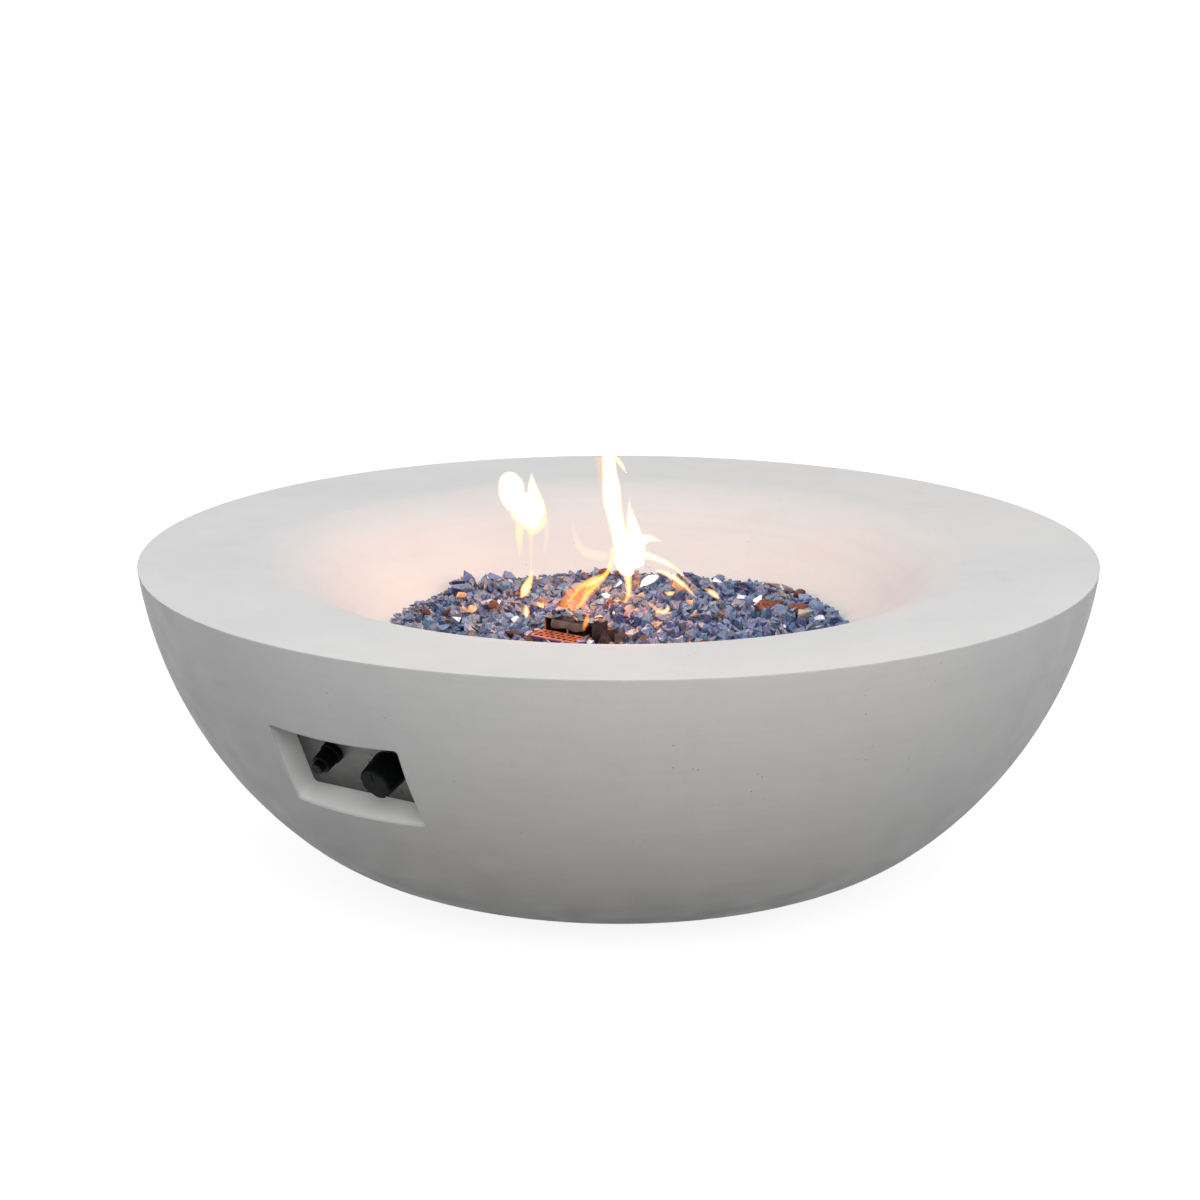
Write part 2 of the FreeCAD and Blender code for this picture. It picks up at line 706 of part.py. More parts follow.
def burner_pan():
    """Drop-in stainless pan with a flange, drain holes and openings for the burner and pilot."""
    inner = "(pan_corner - pan_sheet)"
    body = turned_part("burner_pan", [
        ("0", "pan_under"), ("pan_radius - pan_corner", "pan_under"),
        ("pan_radius", "pan_under + pan_corner", "pan_corner", 1),
        ("pan_radius", "seat_z"), ("pan_radius + pan_flange", "seat_z"),
        ("pan_radius + pan_flange", "pan_top"), ("pan_inside", "pan_top"),
        ("pan_inside", "pan_under + pan_corner"),
        ("pan_radius - pan_corner", "pan_floor", inner, -1), ("0", "pan_floor")])
    weep = sketch_on(body, lift="pan_floor")
    draw_circle(weep, "weep_circle", "0", "weep_radius")
    pattern_round(body, pocket(body, weep, "2 * pan_sheet"), "weep_count")
    openings = sketch_on(body, lift="pan_floor")
    draw_circle(openings, "0", "0", "nipple_radius + 2 * running_gap")
    draw_rectangle(openings, "cage_x", "probe_y", "bracket_width * 0.8", "bracket_depth * 0.6",
                   "bracket_depth * 0.2")
    pocket(body, openings, "2 * pan_sheet")
    return body


def ring_burner():
    """Hollow ring with a cross tube, a hub and a nipple; rows of gas ports face up."""
    body = new_body("ring_burner")
    bore = "(tube_radius - tube_wall)"

    def hoop(radius, kind):
        sketch = sketch_on(body, "XZ_Plane")
        draw_circle(sketch, "ring_radius", "ring_z", radius)
        feature(body, kind, sketch, ReferenceAxis=(sketch, ["V_Axis"]), Angle=360)

    def cross_section(radius):
        sketch = sketch_on(body, "YZ_Plane")
        draw_circle(sketch, "0", "ring_z", radius)
        return sketch

    hoop("tube_radius", "Revolution")
    pad(body, cross_section("tube_radius"), "2 * ring_radius", Midplane=True)
    turn(body, [("0", "pan_under - nipple_length"), ("nipple_radius", "pan_under - nipple_length"),
                ("nipple_radius", "pan_floor"), ("hub_radius", "pan_floor"),
                ("hub_radius", "ring_top + tube_wall"), ("0", "ring_top + tube_wall")])
    hoop(bore, "Groove")
    pocket(body, cross_section(bore), "2 * ring_radius", Midplane=True)
    turn(body, [("0", "pan_under - nipple_length - 1"), ("nipple_bore", "pan_under - nipple_length - 1"),
                ("nipple_bore", "ring_z"), ("0", "ring_z")], "Groove")
    ports = sketch_on(body, lift="ring_top")
    draw_circle(ports, "ring_radius * cos(180 / port_count)", "ring_radius * sin(180 / port_count)",
                "port_radius")
    pattern_round(body, pocket(body, ports, "tube_radius"), "port_count")
    ports = sketch_on(body, lift="ring_top")
    start = "(hub_radius + cross_port_pitch / 2)"
    draw_circle(ports, start, "0", "port_radius")
    draw_circle(ports, f"-{start} - cross_port_pitch * (cross_port_count - 1)", "0", "port_radius")
    pattern_along(body, pocket(body, ports, "tube_radius"), "H_Axis", "cross_port_pitch",
                  "cross_port_count")
    return body


def hex_nut(label, hexagon, low, height, bore, kept=True):
    """A nut about the Z axis, with its bore."""
    body = new_body(label, kept)
    sketch = sketch_on(body, lift=low)
    draw_hexagon(sketch, hexagon)
    draw_circle(sketch, "0", "0", bore)
    pad(body, sketch, height)
    return body


def air_mixer():
    """Tube below the burner that draws air in round the jet."""
    body = turned_part("air_mixer", [
        ("jet_thread_radius + running_gap", "mixer_under"), ("mixer_radius", "mixer_under"),
        ("mixer_radius", "mixer_top"), ("nipple_radius + running_gap", "mixer_top"),
        ("nipple_radius + running_gap", "pan_under - nipple_length - running_gap"),
        ("nipple_bore", "pan_under - nipple_length - running_gap"),
        ("nipple_bore", "mixer_under + jet_thread_length * 1.2"),
        ("jet_thread_radius + running_gap", "mixer_under + jet_thread_length * 1.2")])
    hole = sketch_on(body, "XZ_Plane")
    draw_circle(hole, "0", "mixer_under + jet_thread_length * 1.2 + mixer_air_radius * 2",
                "mixer_air_radius")
    cut = pocket(body, hole, "mixer_radius * 1.5", Reversed=True)
    around = feature(body, "PolarPattern", None, Originals=[cut], Angle=360)
    around.Axis = (hole, ["V_Axis"])
    bind(around, Occurrences="mixer_air_count")
    body.Tip = around
    return body


def gas_jet():
    """Brass jet screwed into the mixer, with a cone for the gas pipe's nut."""
    body = new_body("gas_jet")
    sketch = sketch_on(body, lift="mixer_under - jet_hex_height")
    draw_hexagon(sketch, "jet_hex")
    pad(body, sketch, "jet_hex_height")
    turn(body, [("0", "jet_under"), ("pipe_radius", "jet_under"),
                ("pipe_radius", "mixer_under - jet_hex_height"),
                ("jet_thread_radius", "mixer_under - jet_hex_height"),
                ("jet_thread_radius", "mixer_under + jet_thread_length"),
                ("jet_bore", "mixer_under + jet_thread_length + jet_thread_radius / 2"),
                ("0", "mixer_under + jet_thread_length + jet_thread_radius / 2")])
    turn(body, [("0", "jet_under - 1"), ("pipe_bore", "jet_under - 1"),
                ("pipe_bore", "mixer_under"), ("jet_bore", "mixer_under + jet_thread_length / 2"),
                ("jet_bore", "mixer_under + jet_thread_length * 2"),
                ("0", "mixer_under + jet_thread_length * 2")], "Groove")
    return body


def cut_cage_shaft(body, low, high):
    """Cuts the room for the pilot cage out of a fill."""
    sketch = sketch_on(body, lift=high)
    draw_rectangle(sketch, "cage_x", "cage_y", "cage_width + 2 * fill_gap", "cage_depth + 2 * fill_gap")
    pocket(body, sketch, f"({high}) - ({low})")


def lava_rock():
    """Loose lava rock in the pan, over and round the burner."""
    inner, outer = "ring_radius - tube_radius - fill_gap", "ring_radius + tube_radius + fill_gap"
    low, roof, wall = "pan_floor + fill_gap", "ring_top + fill_gap", "pan_inside - fill_gap"
    body = turned_part("lava_rock", [
        ("hub_radius + fill_gap", low), (inner, low), (inner, roof), (outer, roof), (outer, low),
        ("pan_inside - pan_corner", low), (wall, "pan_floor + pan_corner"), (wall, "lava_top"),
        ("hub_radius + fill_gap", "lava_top")])
    channel = sketch_on(body, lift=roof)
    draw_rectangle(channel, "0", "0", "2 * ring_radius", "2 * (tube_radius + fill_gap)")
    pocket(body, channel, f"{roof} - ({low}) + 1")
    cut_cage_shaft(body, "pan_floor", "lava_top + 1")
    return body


def fire_glass():
    """Bed of fire glass, from the lava rock to a low mound over the pan's flange."""
    wall, low = "pan_inside - fill_gap", "lava_top + fill_gap"
    body = turned_part("fire_glass", [
        ("0", low), (wall, low), (wall, "pan_top + fill_gap"),
        ("seat_radius - fill_gap", "pan_top + fill_gap"),
        ("seat_radius - fill_gap", "seat_edge_z + fill_gap"),
        ("bed_radius", "bed_edge_z - bed_edge + fill_gap"),
        ("bed_radius", "bed_edge_z"),
        ("0", "bed_edge_z + bed_rise", "bed_curve", 1)])
    heap_lumps(body)
    cut_cage_shaft(body, "pan_floor", "bed_edge_z + bed_rise + lump_height + 1")
    return body


LUMPS_AT_ONCE = 10  # heaps of one height, in one sketch
GOLDEN = 137.508  # degrees from one heap of the spiral to the next


def heap_lumps(body):
    """Low five-sided heaps of chips in a sunflower spiral, which spaces them evenly, apart from
    those that the pilot cage would cut through."""
    most = int((value("bed_radius - lump_radius") / value("lump_spread")) ** 2)
    for first in range(1, most + 1, LUMPS_AT_ONCE):
        group = range(first, min(first + LUMPS_AT_ONCE, most + 1))
        middle = f"(lump_spread / bed_radius) ^ 2 * {first + len(group) / 2}"
        sketch = sketch_on(body, lift=f"bed_edge_z + bed_rise * (1 - {middle}) - bed_edge")
        for index in group:
            x, y = (f"lump_spread * {math.sqrt(index):.4f} * {of(math.radians(index * GOLDEN)):.4f}"
                    for of in (math.cos, math.sin))
            off_x, off_y = abs(value(f"({x}) - cage_x")), abs(value(f"({y}) - cage_y"))
            if (off_x < value("cage_width / 2 + lump_radius")
                    and off_y < value("cage_depth / 2 + lump_radius")):
                continue
            draw_outline(sketch, [
                (f"{x} + lump_radius * {math.cos(math.radians(72 * k + 31 * index)):.4f}",
                 f"{y} + lump_radius * {math.sin(math.radians(72 * k + 31 * index)):.4f}")
                for k in range(5)])
        bind(pad(body, sketch, "bed_edge + lump_height"), TaperAngle="-lump_slope_angle")


# ------------------------------------------------------------------ pilot

def pilot_cage():
    """Bent sheet cage round the pilot: slotted top in front, hood with an open front behind it."""
    body = new_body("pilot_cage")
    inside = "- 2 * cage_sheet"
    hood_depth = "(cage_depth - cage_grille)"
    hood_y = f"(cage_y + cage_depth / 2 - {hood_depth} / 2)"
    sketch = sketch_on(body, lift="pan_floor")
    draw_rectangle(sketch, "cage_x", "cage_y", "cage_width", "cage_depth")
    pad(body, sketch, "cage_top - pan_floor")
    sketch = sketch_on(body, lift="cage_top")
    draw_rectangle(sketch, "cage_x", hood_y, "cage_width", hood_depth)
    pad(body, sketch, "hood_height")
    sketch = sketch_on(body, lift="cage_top - cage_sheet")
    draw_rectangle(sketch, "cage_x", "cage_y", f"cage_width {inside}", f"cage_depth {inside}")
    pocket(body, sketch, "cage_top - pan_floor")
    sketch = sketch_on(body, lift="cage_top + hood_height - cage_sheet")
    draw_rectangle(sketch, "cage_x", f"({hood_y} - cage_sheet)", f"cage_width {inside}", hood_depth)
    pocket(body, sketch, "hood_height")
    columns = f"((cage_width {inside} - slot_bar) / slot_column_count)"
    rows = f"((cage_grille - 2 * cage_sheet - slot_bar) / slot_row_count)"
    slot = sketch_on(body, lift="cage_top")
    draw_rectangle(slot, f"(cage_x - cage_width / 2 + cage_sheet + (slot_bar + {columns}) / 2)",
                   f"(cage_y - cage_depth / 2 + cage_sheet + (slot_bar + {rows}) / 2)",
                   f"({columns} - slot_bar)", f"({rows} - slot_bar)")
    first = pocket(body, slot, "2 * cage_sheet")
    grid = feature(body, "MultiTransform", None, Originals=[first])
    lines = []
    for axis, pitch, count in (("H_Axis", columns, "slot_column_count"), ("V_Axis", rows, "slot_row_count")):
        line = body.newObject("PartDesign::LinearPattern", "cage_slots")
        line.Direction = (slot, [axis])
        bind(line, Length=f"{pitch} * ({count} - 1)", Occurrences=count)
        lines.append(line)
    grid.Transformations = lines
    body.Tip = grid
    return body


def pilot_bracket():
    """Plate on the pan's floor that holds the electrode and the thermocouple."""
    body = new_body("pilot_bracket")
    sketch = sketch_on(body, lift="pan_floor")
    draw_rectangle(sketch, "cage_x", "probe_y", "bracket_width", "bracket_depth", "bracket_depth / 6")
    for side in ("-", "+"):
        draw_circle(sketch, f"cage_x {side} probe_spacing / 2", "probe_y", "probe_radius + running_gap")
    pad(body, sketch, "bracket_sheet")
    return body


def pilot_probe(label, side, corners):
    """A turned probe that stands in the pilot bracket."""
    body = turned_part(label, corners)
    bind(body, Placement_Base_x=f"cage_x {side} probe_spacing / 2", Placement_Base_y="probe_y")
    return body


def ignition_electrode():
    """Ceramic rod with a collar on the bracket and a wire tip."""
    top = "pan_floor + probe_height"
    return pilot_probe("ignition_electrode", "-", [
        ("0", "pan_under - probe_drop"), ("probe_radius", "pan_under - probe_drop"),
        ("probe_radius", "pan_floor + bracket_sheet"),
        ("probe_radius * 1.5", "pan_floor + bracket_sheet"),
        ("probe_radius * 1.5", "pan_floor + bracket_sheet * 3"),
        ("probe_radius", "pan_floor + bracket_sheet * 4"),
        ("probe_radius", f"{top} - probe_tip_length"),
        ("probe_tip_radius / 2", f"{top} - probe_tip_length"),
        ("probe_tip_radius / 2", top), ("0", top)])


def thermocouple():
    """Copper sensor with a nut on the bracket and a round tip."""
    top = "pan_floor + probe_height"
    return pilot_probe("thermocouple", "+", [
        ("0", "pan_under - probe_drop"), ("probe_radius", "pan_under - probe_drop"),
        ("probe_radius", "pan_floor + bracket_sheet"),
        ("probe_radius * 1.6", "pan_floor + bracket_sheet"),
        ("probe_radius * 1.6", "pan_floor + bracket_sheet * 3"),
        ("probe_radius * 0.8", "pan_floor + bracket_sheet * 3"),
        ("probe_radius * 0.8", f"{top} - probe_radius * 0.8"),
        ("0", top, "probe_radius * 0.8", 1)])


# ------------------------------------------------------------------ control plate

def control_plate():
    """Stainless plate on the recess's floor, with studs at its corners."""
    body = new_body("control_plate")
    sketch = sketch_on(body)
    draw_rectangle(sketch, "0", "0", "recess_width - 2 * panel_gap", "recess_height - 2 * panel_gap",
                   "recess_corner - panel_gap")
    draw_circle(sketch, "-valve_x", "0", "igniter_radius + 2 * running_gap")
    draw_circle(sketch, "valve_x", "0", "spindle_radius * 1.5")
    for side in ("-", "+"):
        draw_circle(sketch, f"valve_x {side} valve_screw_spacing / 2", "0",
                    "valve_screw_radius + 2 * running_gap")
    pad(body, sketch, "panel_sheet")
    studs = sketch_on(body)
    draw_studs(studs, "stud_radius")
    pad(body, studs, "stud_length", Reversed=True)
    return place_on_panel(body)


def stud_nuts():
    body = new_body("stud_nuts")
    sketch = sketch_on(body, lift="-recess_wall - stud_nut_height")
    for x in ("(recess_width / 2 - stud_inset)", "-(recess_width / 2 - stud_inset)"):
        for y in ("(recess_height / 2 - stud_inset)", "-(recess_height / 2 - stud_inset)"):
            draw_hexagon(sketch, "stud_nut_hex", x, y)
            draw_circle(sketch, x, y, "stud_radius + running_gap")
    pad(body, sketch, "stud_nut_height")
    return place_on_panel(body)


# ------------------------------------------------------------------ gas valve

def valve_bonnet():
    """Plate between the control plate and the valve, with the spindle's bearing."""
    body = new_body("valve_bonnet")
    sketch = sketch_on(body, lift="-bonnet_sheet")
    draw_rectangle(sketch, "0", "0", "bonnet_width", "bonnet_height", "bonnet_height / 5")
    draw_circle(sketch, "0", "0", "spindle_radius + running_gap")
    for side in ("-", ""):
        draw_circle(sketch, f"{side}valve_screw_spacing / 2", "0", "valve_screw_radius + 2 * running_gap")
    pad(body, sketch, "bonnet_sheet")
    return place_on_panel(body, "valve_x")


def valve_body():
    """Cast body with a taper bore for the plug, a gas inlet below and an outlet to the side."""
    body = new_body("valve_body")
    sketch = sketch_on(body, lift="valve_front - valve_flange")
    draw_rectangle(sketch, "0", "0", "bonnet_width", "bonnet_height", "bonnet_height / 5")
    pad(body, sketch, "valve_flange")
    turn(body, [("0", "valve_rear"), ("valve_radius - 2", "valve_rear"), ("valve_radius", "valve_rear + 2"),
                ("valve_radius", "valve_front - valve_flange"), ("0", "valve_front - valve_flange")])

    def gas_section(role, radius):
        sketch = sketch_on(body, role)
        draw_circle(sketch, "0", "gas_z", radius)
        return sketch

    pad(body, gas_section("XZ_Plane", "union_radius"), "union_reach")
    pad(body, gas_section("YZ_Plane", "union_radius"), "union_reach")
    clear = "+ running_gap / 2"
    turn(body, [("0", "plug_rear - running_gap"), (f"plug_small {clear}", "plug_rear - running_gap"),
                (f"plug_large {clear}", "plug_front"), ("plug_large + 1", "plug_front"),
                ("plug_large + 1", "valve_front + 1"), ("0", "valve_front + 1")], "Groove")
    turn(body, [("0", "valve_rear - 1"), ("magnet_thread + running_gap", "valve_rear - 1"),
                ("magnet_thread + running_gap", "valve_rear + magnet_thread"),
                ("0", "valve_rear + magnet_thread")], "Groove")
    pocket(body, gas_section("XZ_Plane", "gas_way"), "union_reach + 1", Reversed=True)
    pocket(body, gas_section("YZ_Plane", "gas_way"), "union_reach + 1", Reversed=True)
    screws = sketch_on(body, lift="valve_front")
    for side in ("-", ""):
        draw_circle(screws, f"{side}valve_screw_spacing / 2", "0", "valve_screw_radius + running_gap")
    pocket(body, screws, "valve_flange + 1")
    return place_on_panel(body, "valve_x")


def valve_plug():
    """Taper plug with a right-angle gas way; the spindle slides in its bore."""
    body = turned_part("valve_plug", [
        ("0", "plug_rear"), ("plug_small", "plug_rear"), ("plug_large", "plug_front"), ("0", "plug_front")])
    bore = sketch_on(body, lift="plug_front")
    draw_spindle_section(bore, "spindle_radius + running_gap", "spindle_flat")
    pocket(body, bore, "spindle_in_plug + push_travel + 1")
    for role in ("XZ_Plane", "YZ_Plane"):
        way = sketch_on(body, role)
        draw_circle(way, "0", "gas_z", "gas_way")
        pocket(body, way, "plug_large + 1", Reversed=True)
    return place_on_panel(body, "valve_x")


def draw_spindle_section(sketch, radius, flat):
    """A circle with a flat on its +y side."""
    edge = f"({radius} - {flat})"
    reach = f"sqrt(({radius}) ^ 2 - {edge} ^ 2)"
    draw_outline(sketch, [(f"-{reach}", edge), ("0", f"-({radius})", radius, 1),
                          (reach, edge, radius, 1)])


def valve_spindle():
    """Spindle with a flat and a collar; the knob sits on its front end."""
    body = new_body("valve_spindle")
    low = "(plug_front - spindle_in_plug)"
    sketch = sketch_on(body, lift=low)
    draw_spindle_section(sketch, "spindle_radius", "spindle_flat")
    pad(body, sketch, f"knob_back + knob_socket - 0.5 - {low}")
    turn(body, [("0", "valve_front - running_gap - collar_height"),
                ("collar_radius", "valve_front - running_gap - collar_height"),
                ("collar_radius", "valve_front - running_gap"), ("0", "valve_front - running_gap")])
    return place_on_panel(body, "valve_x")


def coil_spring(label, x, radius, low, high, turns):
    """A compression spring about an axis of the panel frame, from height low to high."""
    body = new_body(label)
    bottom, rise = f"{low} + wire_radius", f"{high} - ({low}) - 2 * wire_radius"
    section = sketch_on(body, "XZ_Plane")
    draw_circle(section, radius, bottom, "wire_radius")
    coil = feature(body, "AdditiveHelix", section, ReferenceAxis=(section, ["V_Axis"]))
    bind(coil, Pitch=f"({rise}) / {turns}", Height=rise)
    return place_on_panel(body, x)


def magnet_unit():
    """Flame-failure magnet screwed into the valve's rear."""
    return place_on_panel(turned_part("magnet_unit", [
        ("0", "magnet_rear - magnet_nose"), ("magnet_nose", "magnet_rear - magnet_nose"),
        ("magnet_nose", "magnet_rear"), ("magnet_radius", "magnet_rear"),
        ("magnet_radius", "valve_rear"), ("magnet_thread", "valve_rear"),
        ("magnet_thread", "valve_rear + magnet_thread - 1"), ("0", "valve_rear + magnet_thread - 1")]),
        "valve_x")


def valve_screws():
    """Two screws through the control plate and bonnet into the valve's flange."""
    body = new_body("valve_screws")
    for low, radius, height in (
            ("panel_sheet", "valve_head_radius", "valve_head_height"),
            ("-valve_screw_length", "valve_screw_radius", "valve_screw_length + panel_sheet")):
        sketch = sketch_on(body, lift=low)
        for side in ("-", ""):
            draw_circle(sketch, f"{side}valve_screw_spacing / 2", "0", radius)
        pad(body, sketch, height)
    return place_on_panel(body, "valve_x")


def control_knob():
    """Lobed knob: skirt, tapered grip with scallops, hollow back and a socket for the spindle."""
    body = new_body("control_knob")
    sketch = sketch_on(body, lift="knob_back")
    draw_circle(sketch, "0", "0", "knob_radius")
    pad(body, sketch, "knob_skirt")
    grip_low = "knob_back + knob_skirt"
    sketch = sketch_on(body, lift=grip_low)
    draw_circle(sketch, "0", "0", "knob_radius - 0.6")
    grip = pad(body, sketch, "knob_height - knob_skirt")
    bind(grip, TaperAngle="-knob_draft_angle")
    scallop = sketch_on(body, lift="knob_front")
    draw_circle(scallop, "knob_radius + scallop_radius - scallop_depth", "0", "scallop_radius")
    cut = pocket(body, scallop, "knob_height - knob_skirt")
    pattern_round(body, cut, "knob_lobe_count")
    round_edges(body, "knob_round", lambda e: at_height(e, value("knob_front")))
    hollow = sketch_on(body, lift="knob_back")
    draw_circle(hollow, "0", "0", "knob_hollow_radius")
    pocket(body, hollow, "knob_hollow", Reversed=True)
    hub = sketch_on(body, lift="knob_back + knob_hollow")
    draw_circle(hub, "0", "0", "spindle_radius * 2")
    pad(body, hub, "knob_hollow - 0.5", Reversed=True)
    socket = sketch_on(body, lift="knob_back")
    draw_spindle_section(socket, "spindle_radius + running_gap / 2", "spindle_flat")
    pocket(body, socket, "knob_socket", Reversed=True)
    pointer = sketch_on(body, lift="knob_front")
    draw_rectangle(pointer, "0", "knob_radius * 0.5", "knob_radius * 0.09", "knob_radius * 0.5")
    pocket(body, pointer, "knob_round / 4")
    return place_on_panel(body, "valve_x")


# ------------------------------------------------------------------ igniter

def igniter_body():
    """Pulse igniter: front flange, threaded barrel that holds the cell, and two rear terminals."""
    bottom = "igniter_rear + igniter_wall"
    body = turned_part("igniter_body", [
        ("0", "igniter_rear"), ("igniter_radius", "igniter_rear"), ("igniter_radius", "panel_sheet"),
        ("igniter_flange_radius", "panel_sheet"), ("igniter_flange_radius", "cap_back - 1"),
        ("igniter_flange_radius - 1", "cap_back"), ("igniter_bore", "cap_back"),
        ("igniter_bore", bottom), ("0", bottom)])
    tabs = sketch_on(body, lift="igniter_rear")
    for side in ("-", ""):
        draw_rectangle(tabs, f"{side}igniter_radius / 2", "0", "1", "igniter_radius * 0.6")
    pad(body, tabs, "terminal_length", Reversed=True)
    return place_on_panel(body, "-valve_x")


def battery():
    return place_on_panel(turned_part("battery", [
        ("0", "battery_rear"), ("battery_radius", "battery_rear"),
        ("battery_radius", "battery_front - battery_nub"),
        ("battery_radius * 0.38", "battery_front - battery_nub"),
        ("battery_radius * 0.38", "battery_front"), ("0", "battery_front")]), "-valve_x")


def igniter_cap():
    """Screw cap over the cell, with a bore for the push button."""
    body = turned_part("igniter_cap", [
        ("0", "cap_back - cap_spigot"), ("igniter_bore - running_gap", "cap_back - cap_spigot"),
        ("igniter_bore - running_gap", "cap_back"), ("cap_radius", "cap_back"),
        ("cap_radius", "cap_front - 1.5"), ("cap_radius - 1.5", "cap_front", "1.5", 1),
        ("button_radius + running_gap", "cap_front"), ("button_radius + running_gap", "cap_floor"),
        ("0", "cap_floor")])
    ridge = sketch_on(body, lift="cap_back")
    draw_circle(ridge, "cap_radius + 0.4", "0", "0.9")
    pattern_round(body, pocket(body, ridge, "cap_height * 0.6", Reversed=True), "24")
    return place_on_panel(body, "-valve_x")


def igniter_button():
    proud = "cap_front + button_proud"
    return place_on_panel(turned_part("igniter_button", [
        ("0", "cap_front - button_sink"), ("button_radius", "cap_front - button_sink"),
        ("button_radius", f"{proud} - 1.5"), ("button_radius - 1.5", proud, "1.5", 1),
        ("button_radius - 3", proud), ("button_radius - 3.5", f"{proud} - 0.5"),
        ("0", f"{proud} - 0.5")]), "-valve_x")


# ------------------------------------------------------------------ gas inlet

def inlet_fitting():
    """Brass bulkhead fitting with a flare thread outside and a pipe tail inside."""
    body = new_body("inlet_fitting")
    sketch = sketch_on(body, lift="-inlet_spot_depth")
    draw_hexagon(sketch, "inlet_hex")
    pad(body, sketch, "inlet_hex_height")
    turn(body, [("0", "inlet_tail"), ("pipe_radius", "inlet_tail"),
                ("pipe_radius", "inlet_tail + jet_thread_length"),
                ("inlet_thread_radius", "inlet_tail + jet_thread_length"),
                ("inlet_thread_radius", "inlet_nose"),
                ("0", "inlet_nose")])
    turn(body, [("0", "inlet_tail - 1"), ("pipe_bore", "inlet_tail - 1"),
                ("pipe_bore", "inlet_nose - 3"), ("pipe_bore + 1.4", "inlet_nose + 1"),
                ("0", "inlet_nose + 1")], "Groove")
    return place_at_inlet(body)


# ------------------------------------------------------------------ pipes and leads

def route(points):
    """A wire of straight runs joined by tangent arcs, as large as the shorter run allows, and the
    arcs' radii."""
    edges, radii, last = [], [], points[0]
    for before, corner, after in zip(points, points[1:], points[2:]):
        inward, outward = corner - before, after - corner
        shorter = min(inward.Length, outward.Length)
        turn_angle = inward.getAngle(outward)
        cut = 0.45 * shorter
        radius = cut / math.tan(turn_angle / 2)
        begin = corner - Vector(inward).normalize() * cut
        end = corner + Vector(outward).normalize() * cut
        middle_way = (begin + end) * 0.5 - corner
        middle = corner + middle_way.normalize() * (radius / math.cos(turn_angle / 2) - radius)
        edges += [Part.LineSegment(last, begin).toShape(), Part.Arc(begin, middle, end).toShape()]
        radii.append(radius)
        last = end
    edges.append(Part.LineSegment(last, points[-1]).toShape())
    return Part.Wire(edges), radii


def tube_along(label, points, radius):
    """A round solid along a route; its volume is compared with its section times its length."""
    path, radii = route(points)
    print(label, "bend radii", " ".join(f"{bend:.0f}" for bend in radii))
    section = Part.Wire(Part.makeCircle(radius, points[0], points[1] - points[0]))
    tube = doc.addObject("Part::Feature", label)
    tube.Shape = path.makePipeShell([section], True, True)
    expected = math.pi * radius**2 * path.Length
    if abs(tube.Shape.Volume / expected - 1) > 0.01:
        raise RuntimeError(f"{label}: volume {tube.Shape.Volume:.0f}, expected {expected:.0f}")
    SUBPARTS.append(tube)
    return tube


def pipe_nut(label, point, direction):
    """A union nut whose back is at point and that reaches along direction."""
    across, height = value("pipe_nut_hex"), value("pipe_nut_height")
    corners = [Vector(across / math.sqrt(3), 0, 0)]
    corners = [Rotation(Vector(0, 0, 1), 60 * k).multVec(corners[0]) for k in range(7)]
    block = Part.Face(Part.makePolygon(corners)).extrude(Vector(0, 0, height))
    shape = block.cut(Part.makeCylinder(value("pipe_radius") + value("running_gap"), height))
    shape.Placement = Placement(point, Rotation(Vector(0, 0, 1), direction))
    return shape


